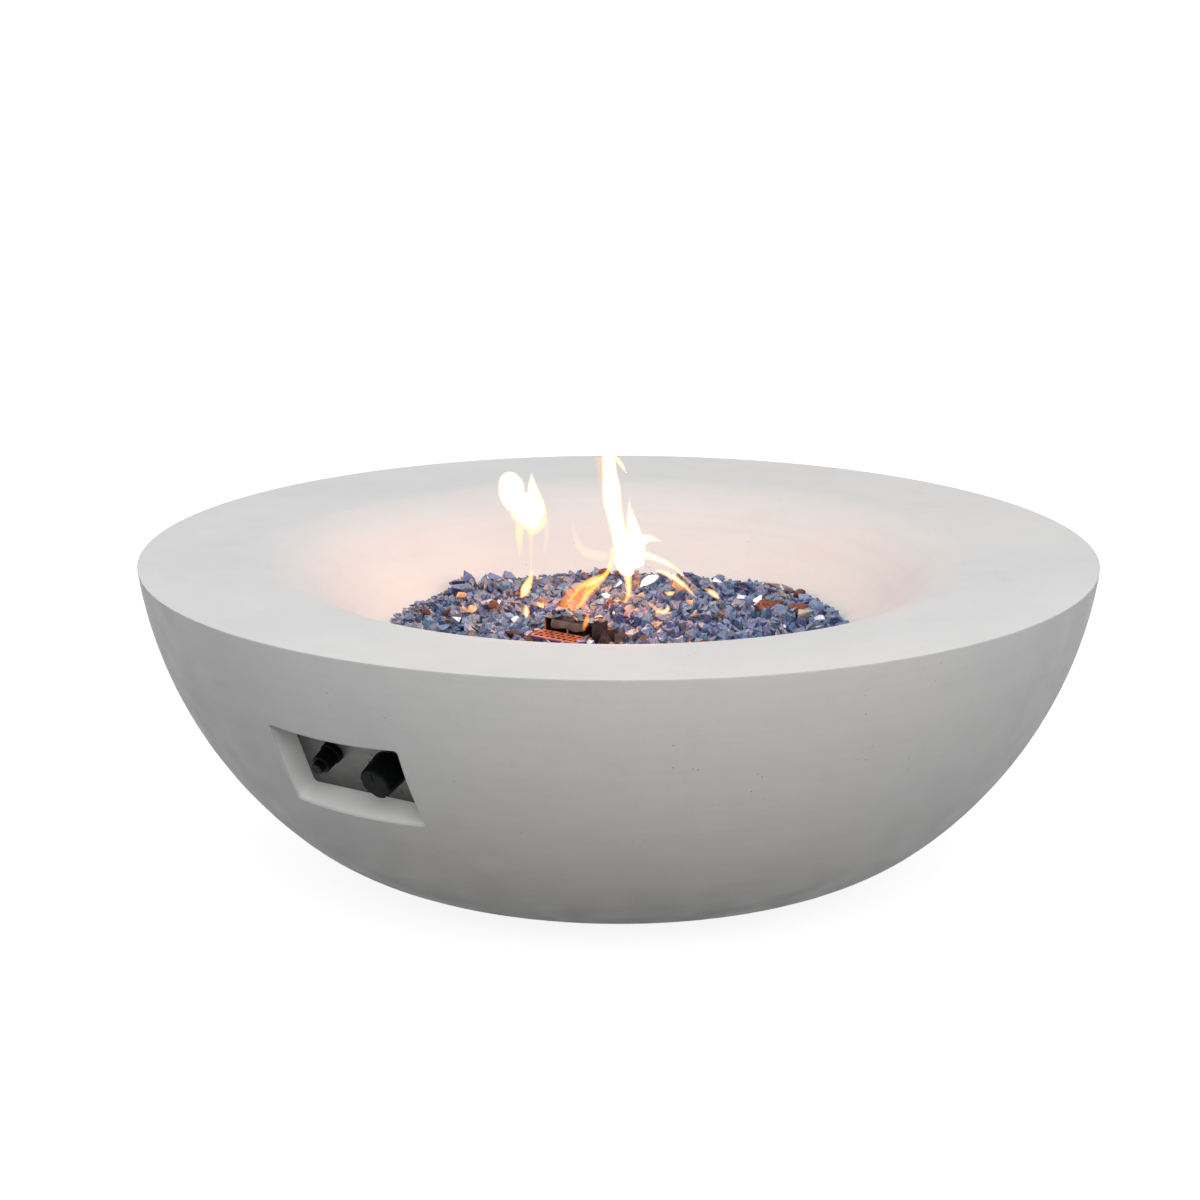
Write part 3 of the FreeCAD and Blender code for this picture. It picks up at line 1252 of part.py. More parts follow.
def pipes():
    """Inlet pipe, burner pipe, thermocouple lead and ignition wire, with the pipes' union nuts."""
    down = panel_point("0", "-1", "0") - panel_point("0", "0", "0")
    inwards = panel_point("0", "0", "-1") - panel_point("0", "0", "0")
    inlet_in = (inlet_point("-1") - inlet_point("0")).normalize()
    side, up = Vector(1, 0, 0), Vector(0, 0, 1)
    valve_in = panel_point("valve_x", "-union_reach", "gas_z")
    valve_out = panel_point("valve_x + union_reach", "0", "gas_z")
    inlet_end = inlet_point("inlet_tail")
    jet_end = up * value("jet_under")
    tube_along("inlet_pipe", [
        valve_in, valve_in + down * 45, Vector(30, -356, 132), Vector(4, -304, 94),
        Vector(-32, -240, 68), Vector(-72, -172, 53), Vector(-104, -96, 47), Vector(-120, -14, 46),
        Vector(-118, 68, 56), Vector(-98, 144, 82), Vector(-66, 206, 124), Vector(-34, 262, 172),
        Vector(-10, 318, 202), inlet_end + inlet_in * 50, inlet_end], value("pipe_radius"))
    tube_along("burner_pipe", [
        valve_out, valve_out + side * 42, Vector(148, -392, 222), Vector(158, -348, 184),
        Vector(150, -300, 138), Vector(126, -244, 94), Vector(96, -178, 58), Vector(66, -112, 34),
        Vector(36, -56, 28), Vector(10, -18, 44), jet_end - up * 40, jet_end], value("pipe_radius"))
    probe = "pan_under - probe_drop"
    sense_end = Vector(value("cage_x + probe_spacing / 2"), value("probe_y"), value(probe))
    spark_end = Vector(value("cage_x - probe_spacing / 2"), value("probe_y"), value(probe))
    magnet_end = panel_point("valve_x", "0", "magnet_rear - magnet_nose")
    igniter_end = panel_point("-valve_x - igniter_radius / 2", "0", "igniter_rear - terminal_length")
    tube_along("thermocouple_lead", [
        magnet_end, magnet_end + inwards * 26, Vector(39, -332, 268), Vector(36, -296, 238),
        Vector(30, -250, 196), Vector(23, -200, 160), Vector(15, -152, 140), Vector(10, -118, 141),
        sense_end - up * 28, sense_end], value("lead_radius"))
    tube_along("ignition_wire", [
        igniter_end, igniter_end + inwards * 26, Vector(-44, -341, 265), Vector(-41, -304, 237),
        Vector(-36, -256, 195), Vector(-31, -204, 159), Vector(-24, -156, 139),
        Vector(-18, -120, 141), spark_end - up * 28, spark_end], value("wire_cover_radius"))
    nuts = doc.addObject("Part::Feature", "pipe_nuts")
    nuts.Shape = Part.makeCompound([
        pipe_nut("valve inlet", valve_in, down), pipe_nut("valve outlet", valve_out, side),
        pipe_nut("jet", jet_end + Vector(0, 0, value("pipe_nut_height")), Vector(0, 0, -1)),
        pipe_nut("inlet", inlet_end, inlet_in)])
    SUBPARTS.append(nuts)


# ------------------------------------------------------------------ build and export

def build():
    fill_sheet()
    bowl_casting()
    base_plate()
    base_screws()
    foot_pads()
    burner_pan()
    ring_burner()
    hex_nut("burner_locknut", "locknut_hex", "pan_under - locknut_height", "locknut_height",
            "nipple_radius + running_gap")
    air_mixer()
    gas_jet()
    lava_rock()
    fire_glass()
    pilot_cage()
    pilot_bracket()
    ignition_electrode()
    thermocouple()
    control_plate()
    stud_nuts()
    valve_bonnet()
    valve_body()
    valve_plug()
    valve_spindle()
    coil_spring("knob_spring", "valve_x", "spindle_radius + 1.2", "plug_front",
                "valve_front - running_gap - collar_height", "knob_spring_turn_count")
    magnet_unit()
    valve_screws()
    control_knob()
    igniter_body()
    place_on_panel(hex_nut("igniter_nut", "igniter_nut_hex", "-igniter_nut_height",
                           "igniter_nut_height", "igniter_radius + running_gap"), "-valve_x")
    battery()
    coil_spring("battery_spring", "-valve_x", "battery_radius * 0.6", "igniter_rear + igniter_wall",
                "battery_rear", "battery_spring_turn_count")
    igniter_cap()
    igniter_button()
    coil_spring("button_spring", "-valve_x", "button_radius * 0.7", "cap_floor",
                "cap_front - button_sink", "button_spring_turn_count")
    inlet_fitting()
    place_at_inlet(hex_nut("inlet_nut", "inlet_hex", "inlet_flat - locknut_height", "locknut_height",
                           "inlet_thread_radius + running_gap"))
    pipes()
    doc.recompute()


def export():
    """Checks every object and every sub-part's shape, then writes one STEP file for each sub-part."""
    for thing in doc.Objects:
        if {"Invalid", "Error"} & set(thing.State):
            raise RuntimeError(f"{thing.Label} failed: {thing.State}")
    for part in SUBPARTS:
        if part.Shape.isNull() or not part.Shape.isValid() or not part.Shape.Solids:
            raise RuntimeError(f"{part.Label} has no valid shape")
    os.makedirs("parts", exist_ok=True)
    for part in SUBPARTS:
        box = part.Shape.BoundBox
        print(f"{part.Label:20s} solids {len(part.Shape.Solids)} volume {part.Shape.Volume:12.1f}  "
              f"x {box.XMin:.1f}..{box.XMax:.1f} y {box.YMin:.1f}..{box.YMax:.1f} "
              f"z {box.ZMin:.1f}..{box.ZMax:.1f}")
        part.Shape.exportStep(f"parts/{part.Label}.step")


build()
export()
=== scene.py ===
"""Looks of the gas fire bowl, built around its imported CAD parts."""

import math
import random

import bmesh
import bpy
from mathutils import Euler, Matrix, Vector


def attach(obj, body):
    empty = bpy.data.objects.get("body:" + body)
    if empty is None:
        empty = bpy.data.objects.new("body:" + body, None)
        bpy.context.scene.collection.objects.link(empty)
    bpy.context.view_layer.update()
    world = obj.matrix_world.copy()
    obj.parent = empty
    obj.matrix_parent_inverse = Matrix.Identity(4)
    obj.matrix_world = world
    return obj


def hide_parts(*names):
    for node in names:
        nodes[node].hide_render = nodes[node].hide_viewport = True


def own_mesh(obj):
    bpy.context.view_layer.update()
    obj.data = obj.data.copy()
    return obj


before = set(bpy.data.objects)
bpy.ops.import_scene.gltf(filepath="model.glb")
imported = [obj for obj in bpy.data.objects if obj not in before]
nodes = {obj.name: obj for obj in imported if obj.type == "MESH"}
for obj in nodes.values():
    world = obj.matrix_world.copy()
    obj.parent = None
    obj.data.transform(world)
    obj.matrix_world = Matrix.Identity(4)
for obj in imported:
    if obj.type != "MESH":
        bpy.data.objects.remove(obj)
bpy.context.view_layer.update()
scene = bpy.context.scene
scene.view_settings.view_transform = "Standard"


def srgb(red, green, blue):
    """A colour written as 0 to 255 screen values, as linear RGBA."""
    return (*[(c / 255 / 12.92 if c < 11 else ((c / 255 + 0.055) / 1.055) ** 2.4)
              for c in (red, green, blue)], 1)


def shade(colour, factor, lift=0):
    """The linear colour made darker or paler."""
    return (*[min(1, c * factor + lift) for c in colour[:3]], 1)


def shown(name, data):
    """A new object that is in the scene."""
    made = bpy.data.objects.new(name, data)
    scene.collection.objects.link(made)
    return made


def look(made, towards):
    made.rotation_mode = "QUATERNION"
    made.rotation_quaternion = towards.to_track_quat("-Z", "Y")


# ---- camera

IMAGE = 1200
FOCAL = 3824.03  # in pixels of the photograph
SENSOR = 36
EYE = Vector((2.4178, -3.3896, 1.3457))
RIM_CENTRE = Vector((0, 0, 0.354))
RIM_CENTRE_SEEN = (618.4, 554.48)


def aimed():
    """The direction that puts the rim's centre on its pixel, with the camera's right and up."""
    target = RIM_CENTRE
    for _ in range(4):
        forward = (target - EYE).normalized()
        right = forward.cross(Vector((0, 0, 1))).normalized()
        up = right.cross(forward)
        per_pixel = (RIM_CENTRE - EYE).dot(forward) / FOCAL
        target = (RIM_CENTRE - right * (RIM_CENTRE_SEEN[0] - IMAGE / 2) * per_pixel
                  - up * (IMAGE / 2 - RIM_CENTRE_SEEN[1]) * per_pixel)
    return forward, right, up


forward, right, up = aimed()
camera = shown("camera", bpy.data.cameras.new("camera"))
camera.data.sensor_width = SENSOR
camera.data.lens = FOCAL / IMAGE * SENSOR
camera.data.clip_start, camera.data.clip_end = 0.05, 60
camera.location = EYE
look(camera, forward)
scene.camera = camera


# ---- node materials

class Tree:
    """A node tree, with short ways to add to it."""

    def __init__(self, tree):
        self.tree = tree

    def add(self, kind, inputs=None, **settings):
        """A new node: its inputs are values to set or sockets to link."""
        node = self.tree.nodes.new("ShaderNode" + kind)
        for name, value in settings.items():
            setattr(node, name, value)
        for socket, value in (inputs or {}).items():
            self.put(value, node.inputs[socket])
        return node

    def put(self, value, socket):
        if isinstance(value, bpy.types.NodeSocket):
            self.tree.links.new(value, socket)
        else:
            socket.default_value = value


def bare_material(name):
    """A material with no nodes yet, and its tree."""
    material = bpy.data.materials.new(name)
    material.use_nodes = True
    material.node_tree.nodes.clear()
    return material, Tree(material.node_tree)


class Paint(Tree):
    """A Principled material made of procedural textures laid out in metres on the piece."""

    def __init__(self, name, colour=None, **sockets):
        self.colour = colour
        self.material = bpy.data.materials.new(name)
        self.material.use_nodes = True
        super().__init__(self.material.node_tree)
        self.shader = self.tree.nodes["Principled BSDF"]
        self.normal = None
        for socket, value in sockets.items():
            self.shader.inputs[socket.replace("_", " ")].default_value = value
        self.place = self.add("TexCoord").outputs["Object"]

    def stretched(self, stretch, turn):
        """The piece's own coordinates, multiplied along each axis after a turn."""
        if stretch == (1, 1, 1) and turn == (0, 0, 0):
            return self.place
        turned = self.add("Mapping", {"Vector": self.place, "Rotation": turn}).outputs[0]
        return self.add("Mapping", {"Vector": turned, "Scale": stretch}).outputs[0]

    def spread(self, value, low, high, to_low=0, to_high=1, smooth=False):
        """value rescaled from low..high to to_low..to_high, and held there."""
        node = self.add("MapRange", {"Value": value, "From Min": low, "From Max": high,
                                     "To Min": to_low, "To Max": to_high})
        if smooth:
            node.interpolation_type = "SMOOTHSTEP"
        return node.outputs["Result"]

    def noise(self, scale, low, high, to_low=0, to_high=1, detail=3, stretch=(1, 1, 1),
              turn=(0, 0, 0), rough=0.55):
        cloud = self.add("TexNoise", {"Vector": self.stretched(stretch, turn), "Scale": scale,
                                      "Detail": detail, "Roughness": rough})
        return self.spread(cloud.outputs[0], low, high, to_low, to_high)

    def cells(self, scale, low, high, to_low=0, to_high=1, feature="F1"):
        pores = self.add("TexVoronoi", {"Vector": self.place, "Scale": scale}, feature=feature)
        return self.spread(pores.outputs["Distance"], low, high, to_low, to_high)

    def axis(self, letter):
        return self.add("SeparateXYZ", {"Vector": self.place}).outputs[letter]

    def span(self, letter, *limits, **settings):
        return self.spread(self.axis(letter), *limits, **settings)

    def maths(self, operation, *values):
        return self.add("Math", dict(enumerate(values)), operation=operation).outputs[0]

    def times(self, first, *others):
        for other in others:
            first = self.maths("MULTIPLY", first, other)
        return first

    def reach(self, first, second):
        """The length of the hypotenuse over two legs."""
        return self.maths("SQRT", self.maths("ADD", self.maths("POWER", first, 2),
                                             self.maths("POWER", second, 2)))

    def mix(self, factor, first, second, blend="MIX"):
        node = self.add("Mix", data_type="RGBA", blend_type=blend)
        for socket, value in ((0, factor), (6, first), (7, second)):
            self.put(value, node.inputs[socket])
        return node.outputs[2]

    def lay(self, factor, tint):
        """Lays a tint over the colour so far."""
        self.colour = self.mix(factor, self.colour, tint)

    def ramp(self, factor, stops):
        """Blends between screen colours, each at its position."""
        node = self.add("ValToRGB", {"Fac": factor})
        elements = node.color_ramp.elements
        for _ in range(len(stops) - 2):
            elements.new(0.5)
        for element, (position, colour) in zip(elements, stops):
            element.position, element.color = position, srgb(*colour)
        return node.outputs["Color"]

    def per_island(self, tones):
        """One of the tones, or a blend of neighbours, for each loose part of the mesh."""
        island = self.add("NewGeometry").outputs["Random Per Island"]
        last = len(tones) - 1
        return self.ramp(island, [(i / last, tone) for i, tone in enumerate(tones)])

    def edges(self, reach):
        """Rounds the shading of sharp edges over reach metres, and gives 1 on them, 0 elsewhere."""
        soft = self.add("Bevel", {"Radius": reach}, samples=4).outputs["Normal"]
        hard = self.add("NewGeometry").outputs["Normal"]
        same = self.add("VectorMath", {0: soft, 1: hard}, operation="DOT_PRODUCT")
        self.normal = soft
        return self.spread(self.maths("SUBTRACT", 1, same.outputs["Value"]), 0.01, 0.1)

    def bump(self, height, distance):
        """Adds a layer of relief, its height in metres."""
        inputs = {"Height": height, "Distance": distance, "Strength": 1}
        if self.normal is not None:
            inputs["Normal"] = self.normal
        self.normal = self.add("Bump", inputs).outputs["Normal"]

    def glow(self, heat, colour, strength):
        """Light given off in colour where heat is 1, and none where it is 0."""
        self.put(self.mix(heat, (0, 0, 0, 1), colour), self.shader.inputs["Emission Color"])
        self.shader.inputs["Emission Strength"].default_value = strength

    def done(self, rough):
        """Links the colour, the roughness and the relief to the shader."""
        for socket, value in (("Base Color", self.colour), ("Roughness", rough),
                              ("Normal", self.normal)):
            if value is not None:
                self.put(value, self.shader.inputs[socket])
        return self.material


FLANK = (0.0776, 0.419, 0.462)  # the outer wall's arc: its middle's reach and height, its radius
RECESS_DEEP, RECESS_FLUSH = 0.0035, 0.0005  # inside the arc, where the recess's sides get painted light
RECESS_PAINTED_LIGHT = 0.8
RECESS_FRONT, RECESS_TOP, RECESS_SIDE = -0.385, 0.3, 0.125  # what is past them isn't the recess
FADE = 0.005


def concrete(name, tone):
    """Cast concrete: mottled, with faint trowel streaks, air holes with painted shade in them,
    paler worn edges, painted light on the recess's sides and a painted highlight on its arris.
    """
    paint = Paint(name, shade(tone, 0.93), Specular_IOR_Level=0.35)
    paint.lay(paint.noise(3.4, 0.3, 0.7, detail=5), shade(tone, 1.04))
    warm = (tone[0] * 1.015, tone[1] * 0.99, tone[2] * 0.965, 1)
    paint.lay(paint.noise(1.7, 0.4, 0.62, 0, 0.8, detail=2), warm)
    streaks = paint.noise(9, 0.42, 0.7, 0, 0.16, detail=4, stretch=(0.6, 0.6, 14))
    paint.lay(streaks, shade(tone, 0.8))
    paint.lay(paint.noise(13, 0.56, 0.78, 0, 0.22, detail=6, rough=0.7), shade(tone, 0.78))
    paint.lay(paint.noise(900, 0.3, 0.7, 0, 0.12, detail=2), shade(tone, 0.72))
    # Air holes: small pits with painted shade in them, thinned out by a slow noise.
    where = paint.noise(19, 0.56, 0.66, detail=1)
    pits = paint.times(paint.cells(95, 0.05, 0.1, 1, 0), where)
    paint.lay(paint.times(pits, 0.4), srgb(112, 111, 110))
    # Worn, paler arrises.
    sharp = paint.edges(0.0022)
    arris = paint.times(sharp, paint.noise(60, 0.3, 0.6, 0.25, 0.75))
    paint.lay(arris, srgb(232, 231, 229))
    # Painted light on the recess's own sides, and a painted highlight on its arris.
    from_axis = paint.reach(paint.axis("X"), paint.axis("Y"))
    from_middle = paint.reach(paint.maths("SUBTRACT", from_axis, FLANK[0]),
                              paint.maths("SUBTRACT", paint.axis("Z"), FLANK[1]))
    deep = paint.spread(from_middle, FLANK[2] - RECESS_DEEP, FLANK[2] - RECESS_FLUSH, 1, 0)
    near = paint.times(paint.span("Y", RECESS_FRONT, RECESS_FRONT + FADE, 1, 0),
                       paint.span("Z", RECESS_TOP, RECESS_TOP + FADE, 1, 0))
    paint.lay(paint.times(deep, near, RECESS_PAINTED_LIGHT), srgb(250, 249, 247))
    # Painted highlight: the recess's arris is paler, faded out past the recess's sides.
    arris_highlight_span = paint.spread(paint.maths("ABSOLUTE", paint.axis("X")), RECESS_SIDE,
                          RECESS_SIDE + FADE, 0.75, 0)
    paint.lay(paint.times(near, arris_highlight_span, sharp), srgb(250, 248, 244))
    # Darker towards the ground, broken up by a noise.
    foot = paint.times(paint.span("Z", 0, 0.055, 0.32, 0, smooth=True),
                       paint.noise(30, 0.35, 0.6, 0.3, 1))
    paint.lay(foot, srgb(126, 122, 117))
    paint.bump(paint.noise(7, 0.2, 0.8), 0.0009)
    paint.bump(paint.noise(240, 0.2, 0.8), 0.00014)
    paint.bump(paint.maths("SUBTRACT", 1, pits), 0.0006)
    return paint.done(paint.noise(26, 0.3, 0.7, 0.56, 0.74))


def metal(name, tone, rough, stretch=(1, 1, 1), scale=260, stain=None, stain_share=0.3):
    """Bare metal with drawn or brushed lines, cloudy handling marks and small scratches."""
    paint = Paint(name, tone, Metallic=1)
    dark = shade(tone, 0.74)
    lines = paint.noise(scale, 0.3, 0.7, detail=4, stretch=stretch)
    cloud = paint.noise(55, 0.35, 0.68, detail=5)
    paint.lay(paint.times(lines, 0.6), dark)
    paint.lay(paint.times(cloud, stain_share), stain or dark)
    scratches = paint.noise(95, 0.62, 0.66, 0, 0.5, detail=8, stretch=(1, 9, 1),
                            turn=(0.4, 0.9, 0.3))
    paint.lay(scratches, shade(tone, 1.25))
    paint.bump(lines, 0.00003)
    uneven = paint.maths("ADD", paint.times(lines, 0.1), paint.times(cloud, 0.14))
    return paint.done(paint.maths("ADD", uneven, rough - 0.08))


def galvanised(name):
    """Zinc coated sheet: spangle in dull crystals, with white bloom in patches."""
    paint = Paint(name, Metallic=0.9)
    crystals = paint.add("TexVoronoi", {"Vector": paint.place, "Scale": 120}).outputs["Color"]
    paint.colour = paint.ramp(crystals, [(0, (150, 153, 158)), (0.5, (176, 179, 184)),
                                         (1, (199, 201, 204))])
    paint.lay(paint.noise(24, 0.5, 0.72, 0, 0.5, detail=6), srgb(205, 206, 205))
    paint.bump(paint.noise(180, 0.3, 0.7), 0.00005)
    rough = paint.add("SeparateColor", {"Color": crystals}).outputs[1]
    return paint.done(paint.spread(rough, 0, 1, 0.34, 0.58))


BARS_GLOW = (0.2795, 0.2806, -0.09, -0.0915)  # z and y over which the grille's bars turn hot
POST_GLOW = (-0.0357, -0.0352, -0.0885, -0.088)  # x and y over which the left post turns cold
HOOD_FOOT, HOOD_EAVES = 0.2806, 0.293


def sooted(name, glow=0):
    """Steel that lives in the fire: blue and straw heat tint under brown and black soot."""
    paint = Paint(name, Metallic=0.75)
    heat = paint.noise(42, 0.28, 0.72)
    paint.colour = paint.ramp(heat, [(0, (82, 66, 58)), (0.35, (122, 88, 66)),
                                     (0.6, (88, 74, 92)), (0.8, (74, 84, 118)),
                                     (1, (120, 112, 108))])
    soot = paint.noise(75, 0.4, 0.62, 0, 0.85, detail=6, rough=0.65)
    paint.lay(soot, srgb(38, 33, 31))
    paint.lay(paint.noise(130, 0.58, 0.7, 0, 0.7, detail=4), srgb(136, 78, 50))
    paint.bump(paint.noise(420, 0.25, 0.75), 0.00012)
    if glow:
        # The grille's bars glow where they stand in the flame, and so does the hood's left post.
        bars = paint.times(paint.span("Z", *BARS_GLOW[:2]), paint.span("Y", *BARS_GLOW[2:]))
        post = paint.times(paint.span("X", *POST_GLOW[:2], 0.7, 0),
                           paint.span("Y", *POST_GLOW[2:], 1, 0),
                           paint.span("Z", HOOD_FOOT + 0.0004, HOOD_EAVES, 1, 0.2),
                           paint.span("Z", HOOD_FOOT, HOOD_FOOT + 0.0004))
        paint.lay(paint.span("Z", HOOD_FOOT, HOOD_FOOT + 0.001, 0, 0.85), srgb(84, 72, 68))
        # Partly heat tint, partly a painted reflection: the cage's front wall turns blue-violet.
        front = paint.times(paint.span("Y", CAGE[2] + 0.0002, CAGE[2] + 0.0006, 0.85, 0),
                            paint.noise(150, 0.35, 0.62, 0.35, 1, detail=4))
        paint.lay(front, srgb(128, 116, 176))
        hot = paint.times(paint.maths("MAXIMUM", bars, post),
                          paint.noise(150, 0.34, 0.62, 0.22, 1))
        paint.glow(hot, srgb(255, 124, 74), glow)
    return paint.done(paint.spread(soot, 0, 0.85, 0.36, 0.78))


def moulded(name, tone, rough, texture=1500, relief=0.00004, wear=0.25, specular=0.5):
    """Moulded plastic or rubber: fine eroded texture, dust in it and rubbed, paler places."""
    paint = Paint(name, tone, Specular_IOR_Level=specular)
    pale = shade(tone, 2.1, 0.006)
    paint.lay(paint.noise(48, 0.48, 0.74, 0, wear, detail=6, rough=0.7), pale)
    paint.lay(paint.noise(700, 0.62, 0.7, 0, wear, detail=2), pale)
    paint.bump(paint.noise(texture, 0.25, 0.75, detail=2), relief)
    return paint.done(paint.noise(65, 0.3, 0.7, rough - 0.07, rough + 0.1, detail=4))


def ceramic(name, glow):
    """White glazed ceramic with fine crazing, smoked and glowing where it meets the flame."""
    paint = Paint(name, srgb(232, 228, 218), Coat_Weight=0.5, Coat_Roughness=0.15)
    paint.lay(paint.noise(160, 0.4, 0.7, 0, 0.5, detail=4), srgb(206, 196, 178))
    lines = paint.cells(420, 0, 0.03, 0.4, 0, feature="DISTANCE_TO_EDGE")
    paint.lay(lines, srgb(150, 138, 120))
    smoke = paint.span("Z", 0.245, 0.283, 0, 0.8)
    paint.lay(paint.times(smoke, paint.noise(90, 0.3, 0.6, 0.4, 1)), srgb(70, 56, 48))
    paint.glow(paint.span("Z", 0.268, 0.289, smooth=True), srgb(255, 120, 44), glow)
    return paint.done(paint.noise(80, 0.3, 0.7, 0.2, 0.4))


def lava(name, tones):
    """Porous lava rock: voids of two sizes with painted shade in them, darker patches and a tint of
    its own per rock.
    """
    paint = Paint(name, Specular_IOR_Level=0.2)
    paint.colour = paint.per_island(tones)
    paint.lay(paint.noise(140, 0.35, 0.68, detail=5),
              paint.mix(0.5, paint.colour, srgb(40, 26, 22), "MULTIPLY"))
    big, small = paint.cells(260, 0.12, 0.34), paint.cells(720, 0.1, 0.32)
    # Painted shade in the voids.
    paint.lay(paint.spread(paint.times(big, small), 0, 1, 0.75, 0), srgb(30, 20, 18))
    paint.bump(big, 0.0012)
    paint.bump(small, 0.0005)
    return paint.done(paint.noise(300, 0.3, 0.7, 0.78, 0.95))


def glass(kind, tones, transmission, rough=0.06, metallic=0, glow=0):
    """Tumbled fire glass: each chip has its own tint, cloudy inside, with chatter marks."""
    paint = Paint(kind + "_glass", IOR=1.5, Transmission_Weight=transmission, Metallic=metallic,
                  Specular_IOR_Level=0.7)
    paint.colour = paint.per_island(tones)
    paint.lay(paint.noise(260, 0.36, 0.66, 0, 0.42, detail=4),
              paint.mix(0.8, paint.colour, srgb(120, 124, 150), "MULTIPLY"))
    paint.lay(paint.noise(480, 0.54, 0.66, 0, 0.34), srgb(214, 220, 234))
    paint.bump(paint.noise(330, 0.3, 0.7, detail=2), 0.00045)
    if glow:  # a chip that stands in the light of the fire
        paint.put(paint.colour, paint.shader.inputs["Emission Color"])
        paint.shader.inputs["Emission Strength"].default_value = glow
    return paint.done(paint.noise(210, 0.45, 0.7, rough, rough + 0.22))


def battery_skin(name):
    """Sleeved cell: dark sleeve with a copper coloured end, fine scuffs."""
    paint = Paint(name, srgb(38, 44, 52), Coat_Weight=0.4, Coat_Roughness=0.2, Metallic=0.4)
    along = paint.maths("ADD", paint.times(paint.axis("Y"), PANEL_OUT.y),
                        paint.times(paint.axis("Z"), PANEL_OUT.z))
    paint.lay(paint.spread(along, 0.286, 0.2865), srgb(176, 112, 66))
    scuffs = paint.noise(120, 0.55, 0.66, 0, 0.4, detail=7, stretch=(1, 6, 1))
    paint.lay(scuffs, srgb(150, 150, 150))
    paint.bump(scuffs, 0.00003)
    return paint.done(paint.noise(60, 0.3, 0.7, 0.24, 0.42))


CAGE = (-0.037, 0.029, -0.119, -0.061)  # x and y of the pilot cage's walls
PANEL_OUT = Vector((0, -0.898794, -0.438371))  # the recess floor's own axes: X and these two
PANEL_UP = Vector((0, -0.438371, 0.898794))

WORN_BY = [  # each material with the CAD nodes that wear it
    (concrete("cast_concrete", srgb(211, 211, 211)), "bowl_casting"),
    (metal("brushed_plate", srgb(106, 106, 105), 0.46, (0.05, 1, 1), 520), "control_plate"),
    (metal("brushed_stainless", srgb(186, 186, 187), 0.34, (0.05, 1, 1), 520),
     "burner_pan stud_nuts"),
    (galvanised("galvanised_sheet"), "base_plate valve_bonnet pilot_bracket"),
    (sooted("sooted_steel"), "ring_burner burner_locknut"),
    (sooted("cage_steel", glow=0.75), "pilot_cage"),
    (metal("turned_brass", srgb(206, 170, 98), 0.3, (1, 1, 9), 300, srgb(138, 98, 52), 0.45),
     "valve_body valve_plug valve_spindle gas_jet inlet_fitting inlet_nut pipe_nuts"),
    (metal("drawn_aluminium", srgb(196, 198, 200), 0.36, scale=420, stain=srgb(140, 142, 146)),
     "inlet_pipe burner_pipe air_mixer"),
    (metal("zinc_plate", srgb(176, 180, 186), 0.3, scale=380, stain=srgb(190, 176, 120),
           stain_share=0.35), "base_screws valve_screws magnet_unit"),
    (metal("spring_steel", srgb(168, 168, 172), 0.22, (1, 1, 6), 500),
     "knob_spring battery_spring button_spring"),
    (metal("copper_tube", srgb(204, 132, 96), 0.3, scale=300, stain=srgb(112, 66, 48),
           stain_share=0.5), "thermocouple_lead thermocouple"),
    (moulded("black_plastic", srgb(6, 8, 10), 0.5, wear=0.05, specular=0.06),
     "control_knob igniter_nut"),
    (moulded("black_nylon", srgb(6, 7, 9), 0.46, texture=1100, wear=0.05, specular=0.07),
     "igniter_body igniter_cap"),
    (moulded("black_button", srgb(6, 7, 9), 0.36, texture=2200, relief=0.00002, wear=0.04,
             specular=0.1), "igniter_button"),
    (moulded("foot_rubber", srgb(44, 43, 42), 0.78, texture=600, relief=0.00008, wear=0.5,
             specular=0.3), "foot_pads"),
    (moulded("silicone_sleeve", srgb(188, 66, 46), 0.5, texture=800, wear=0.3), "ignition_wire"),
    (ceramic("electrode_ceramic", glow=0.35), "ignition_electrode"),
    (lava("lava_bed", [(104, 62, 48), (74, 50, 42)]), "lava_rock"),
    (battery_skin("cell_sleeve"), "battery"),
]
for material, wearers in WORN_BY:
    for wearer in wearers.split():
        nodes[wearer].data.materials.clear()
        nodes[wearer].data.materials.append(material)


# ---- making pieces

def piece(name, vertices, faces, material, body="root", slot=None, smooth=False, replaces=None):
    mesh = bpy.data.meshes.new(name)
    mesh.from_pydata([tuple(v) for v in vertices], [], faces)
    mesh.update()
    mesh.materials.append(material)
    made = shown(name, mesh)
    if smooth:
        mesh.shade_smooth()
    if body:
        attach(made, body)
    if replaces:
        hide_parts(replaces)
    return made


def taken(form):
    """Vertices and faces of a bmesh, which is then freed."""
    form.verts.index_update()
    found = ([v.co.copy() for v in form.verts], [[v.index for v in f.verts] for f in form.faces])
    form.free()
    return found


def hull(points):
    """Vertices and faces of the convex hull of points."""
    form = bmesh.new()
    for point in points:
        form.verts.new(point)
    bmesh.ops.convex_hull(form, input=form.verts)
    loose = [v for v in form.verts if not v.link_faces]
    bmesh.ops.delete(form, geom=loose, context="VERTS")
    return taken(form)


class Heap:
    """Copies of small solids gathered into one mesh."""

    def __init__(self):
        self.vertices, self.faces = [], []

    def drop(self, shape, turn, size, place):
        start = len(self.vertices)
        matrix = Matrix.Translation(place) @ turn.to_matrix().to_4x4() @ Matrix.Diagonal((*size, 1))
        self.vertices += [matrix @ v for v in shape[0]]
        self.faces += [[start + i for i in face] for face in shape[1]]


# ---- fire glass

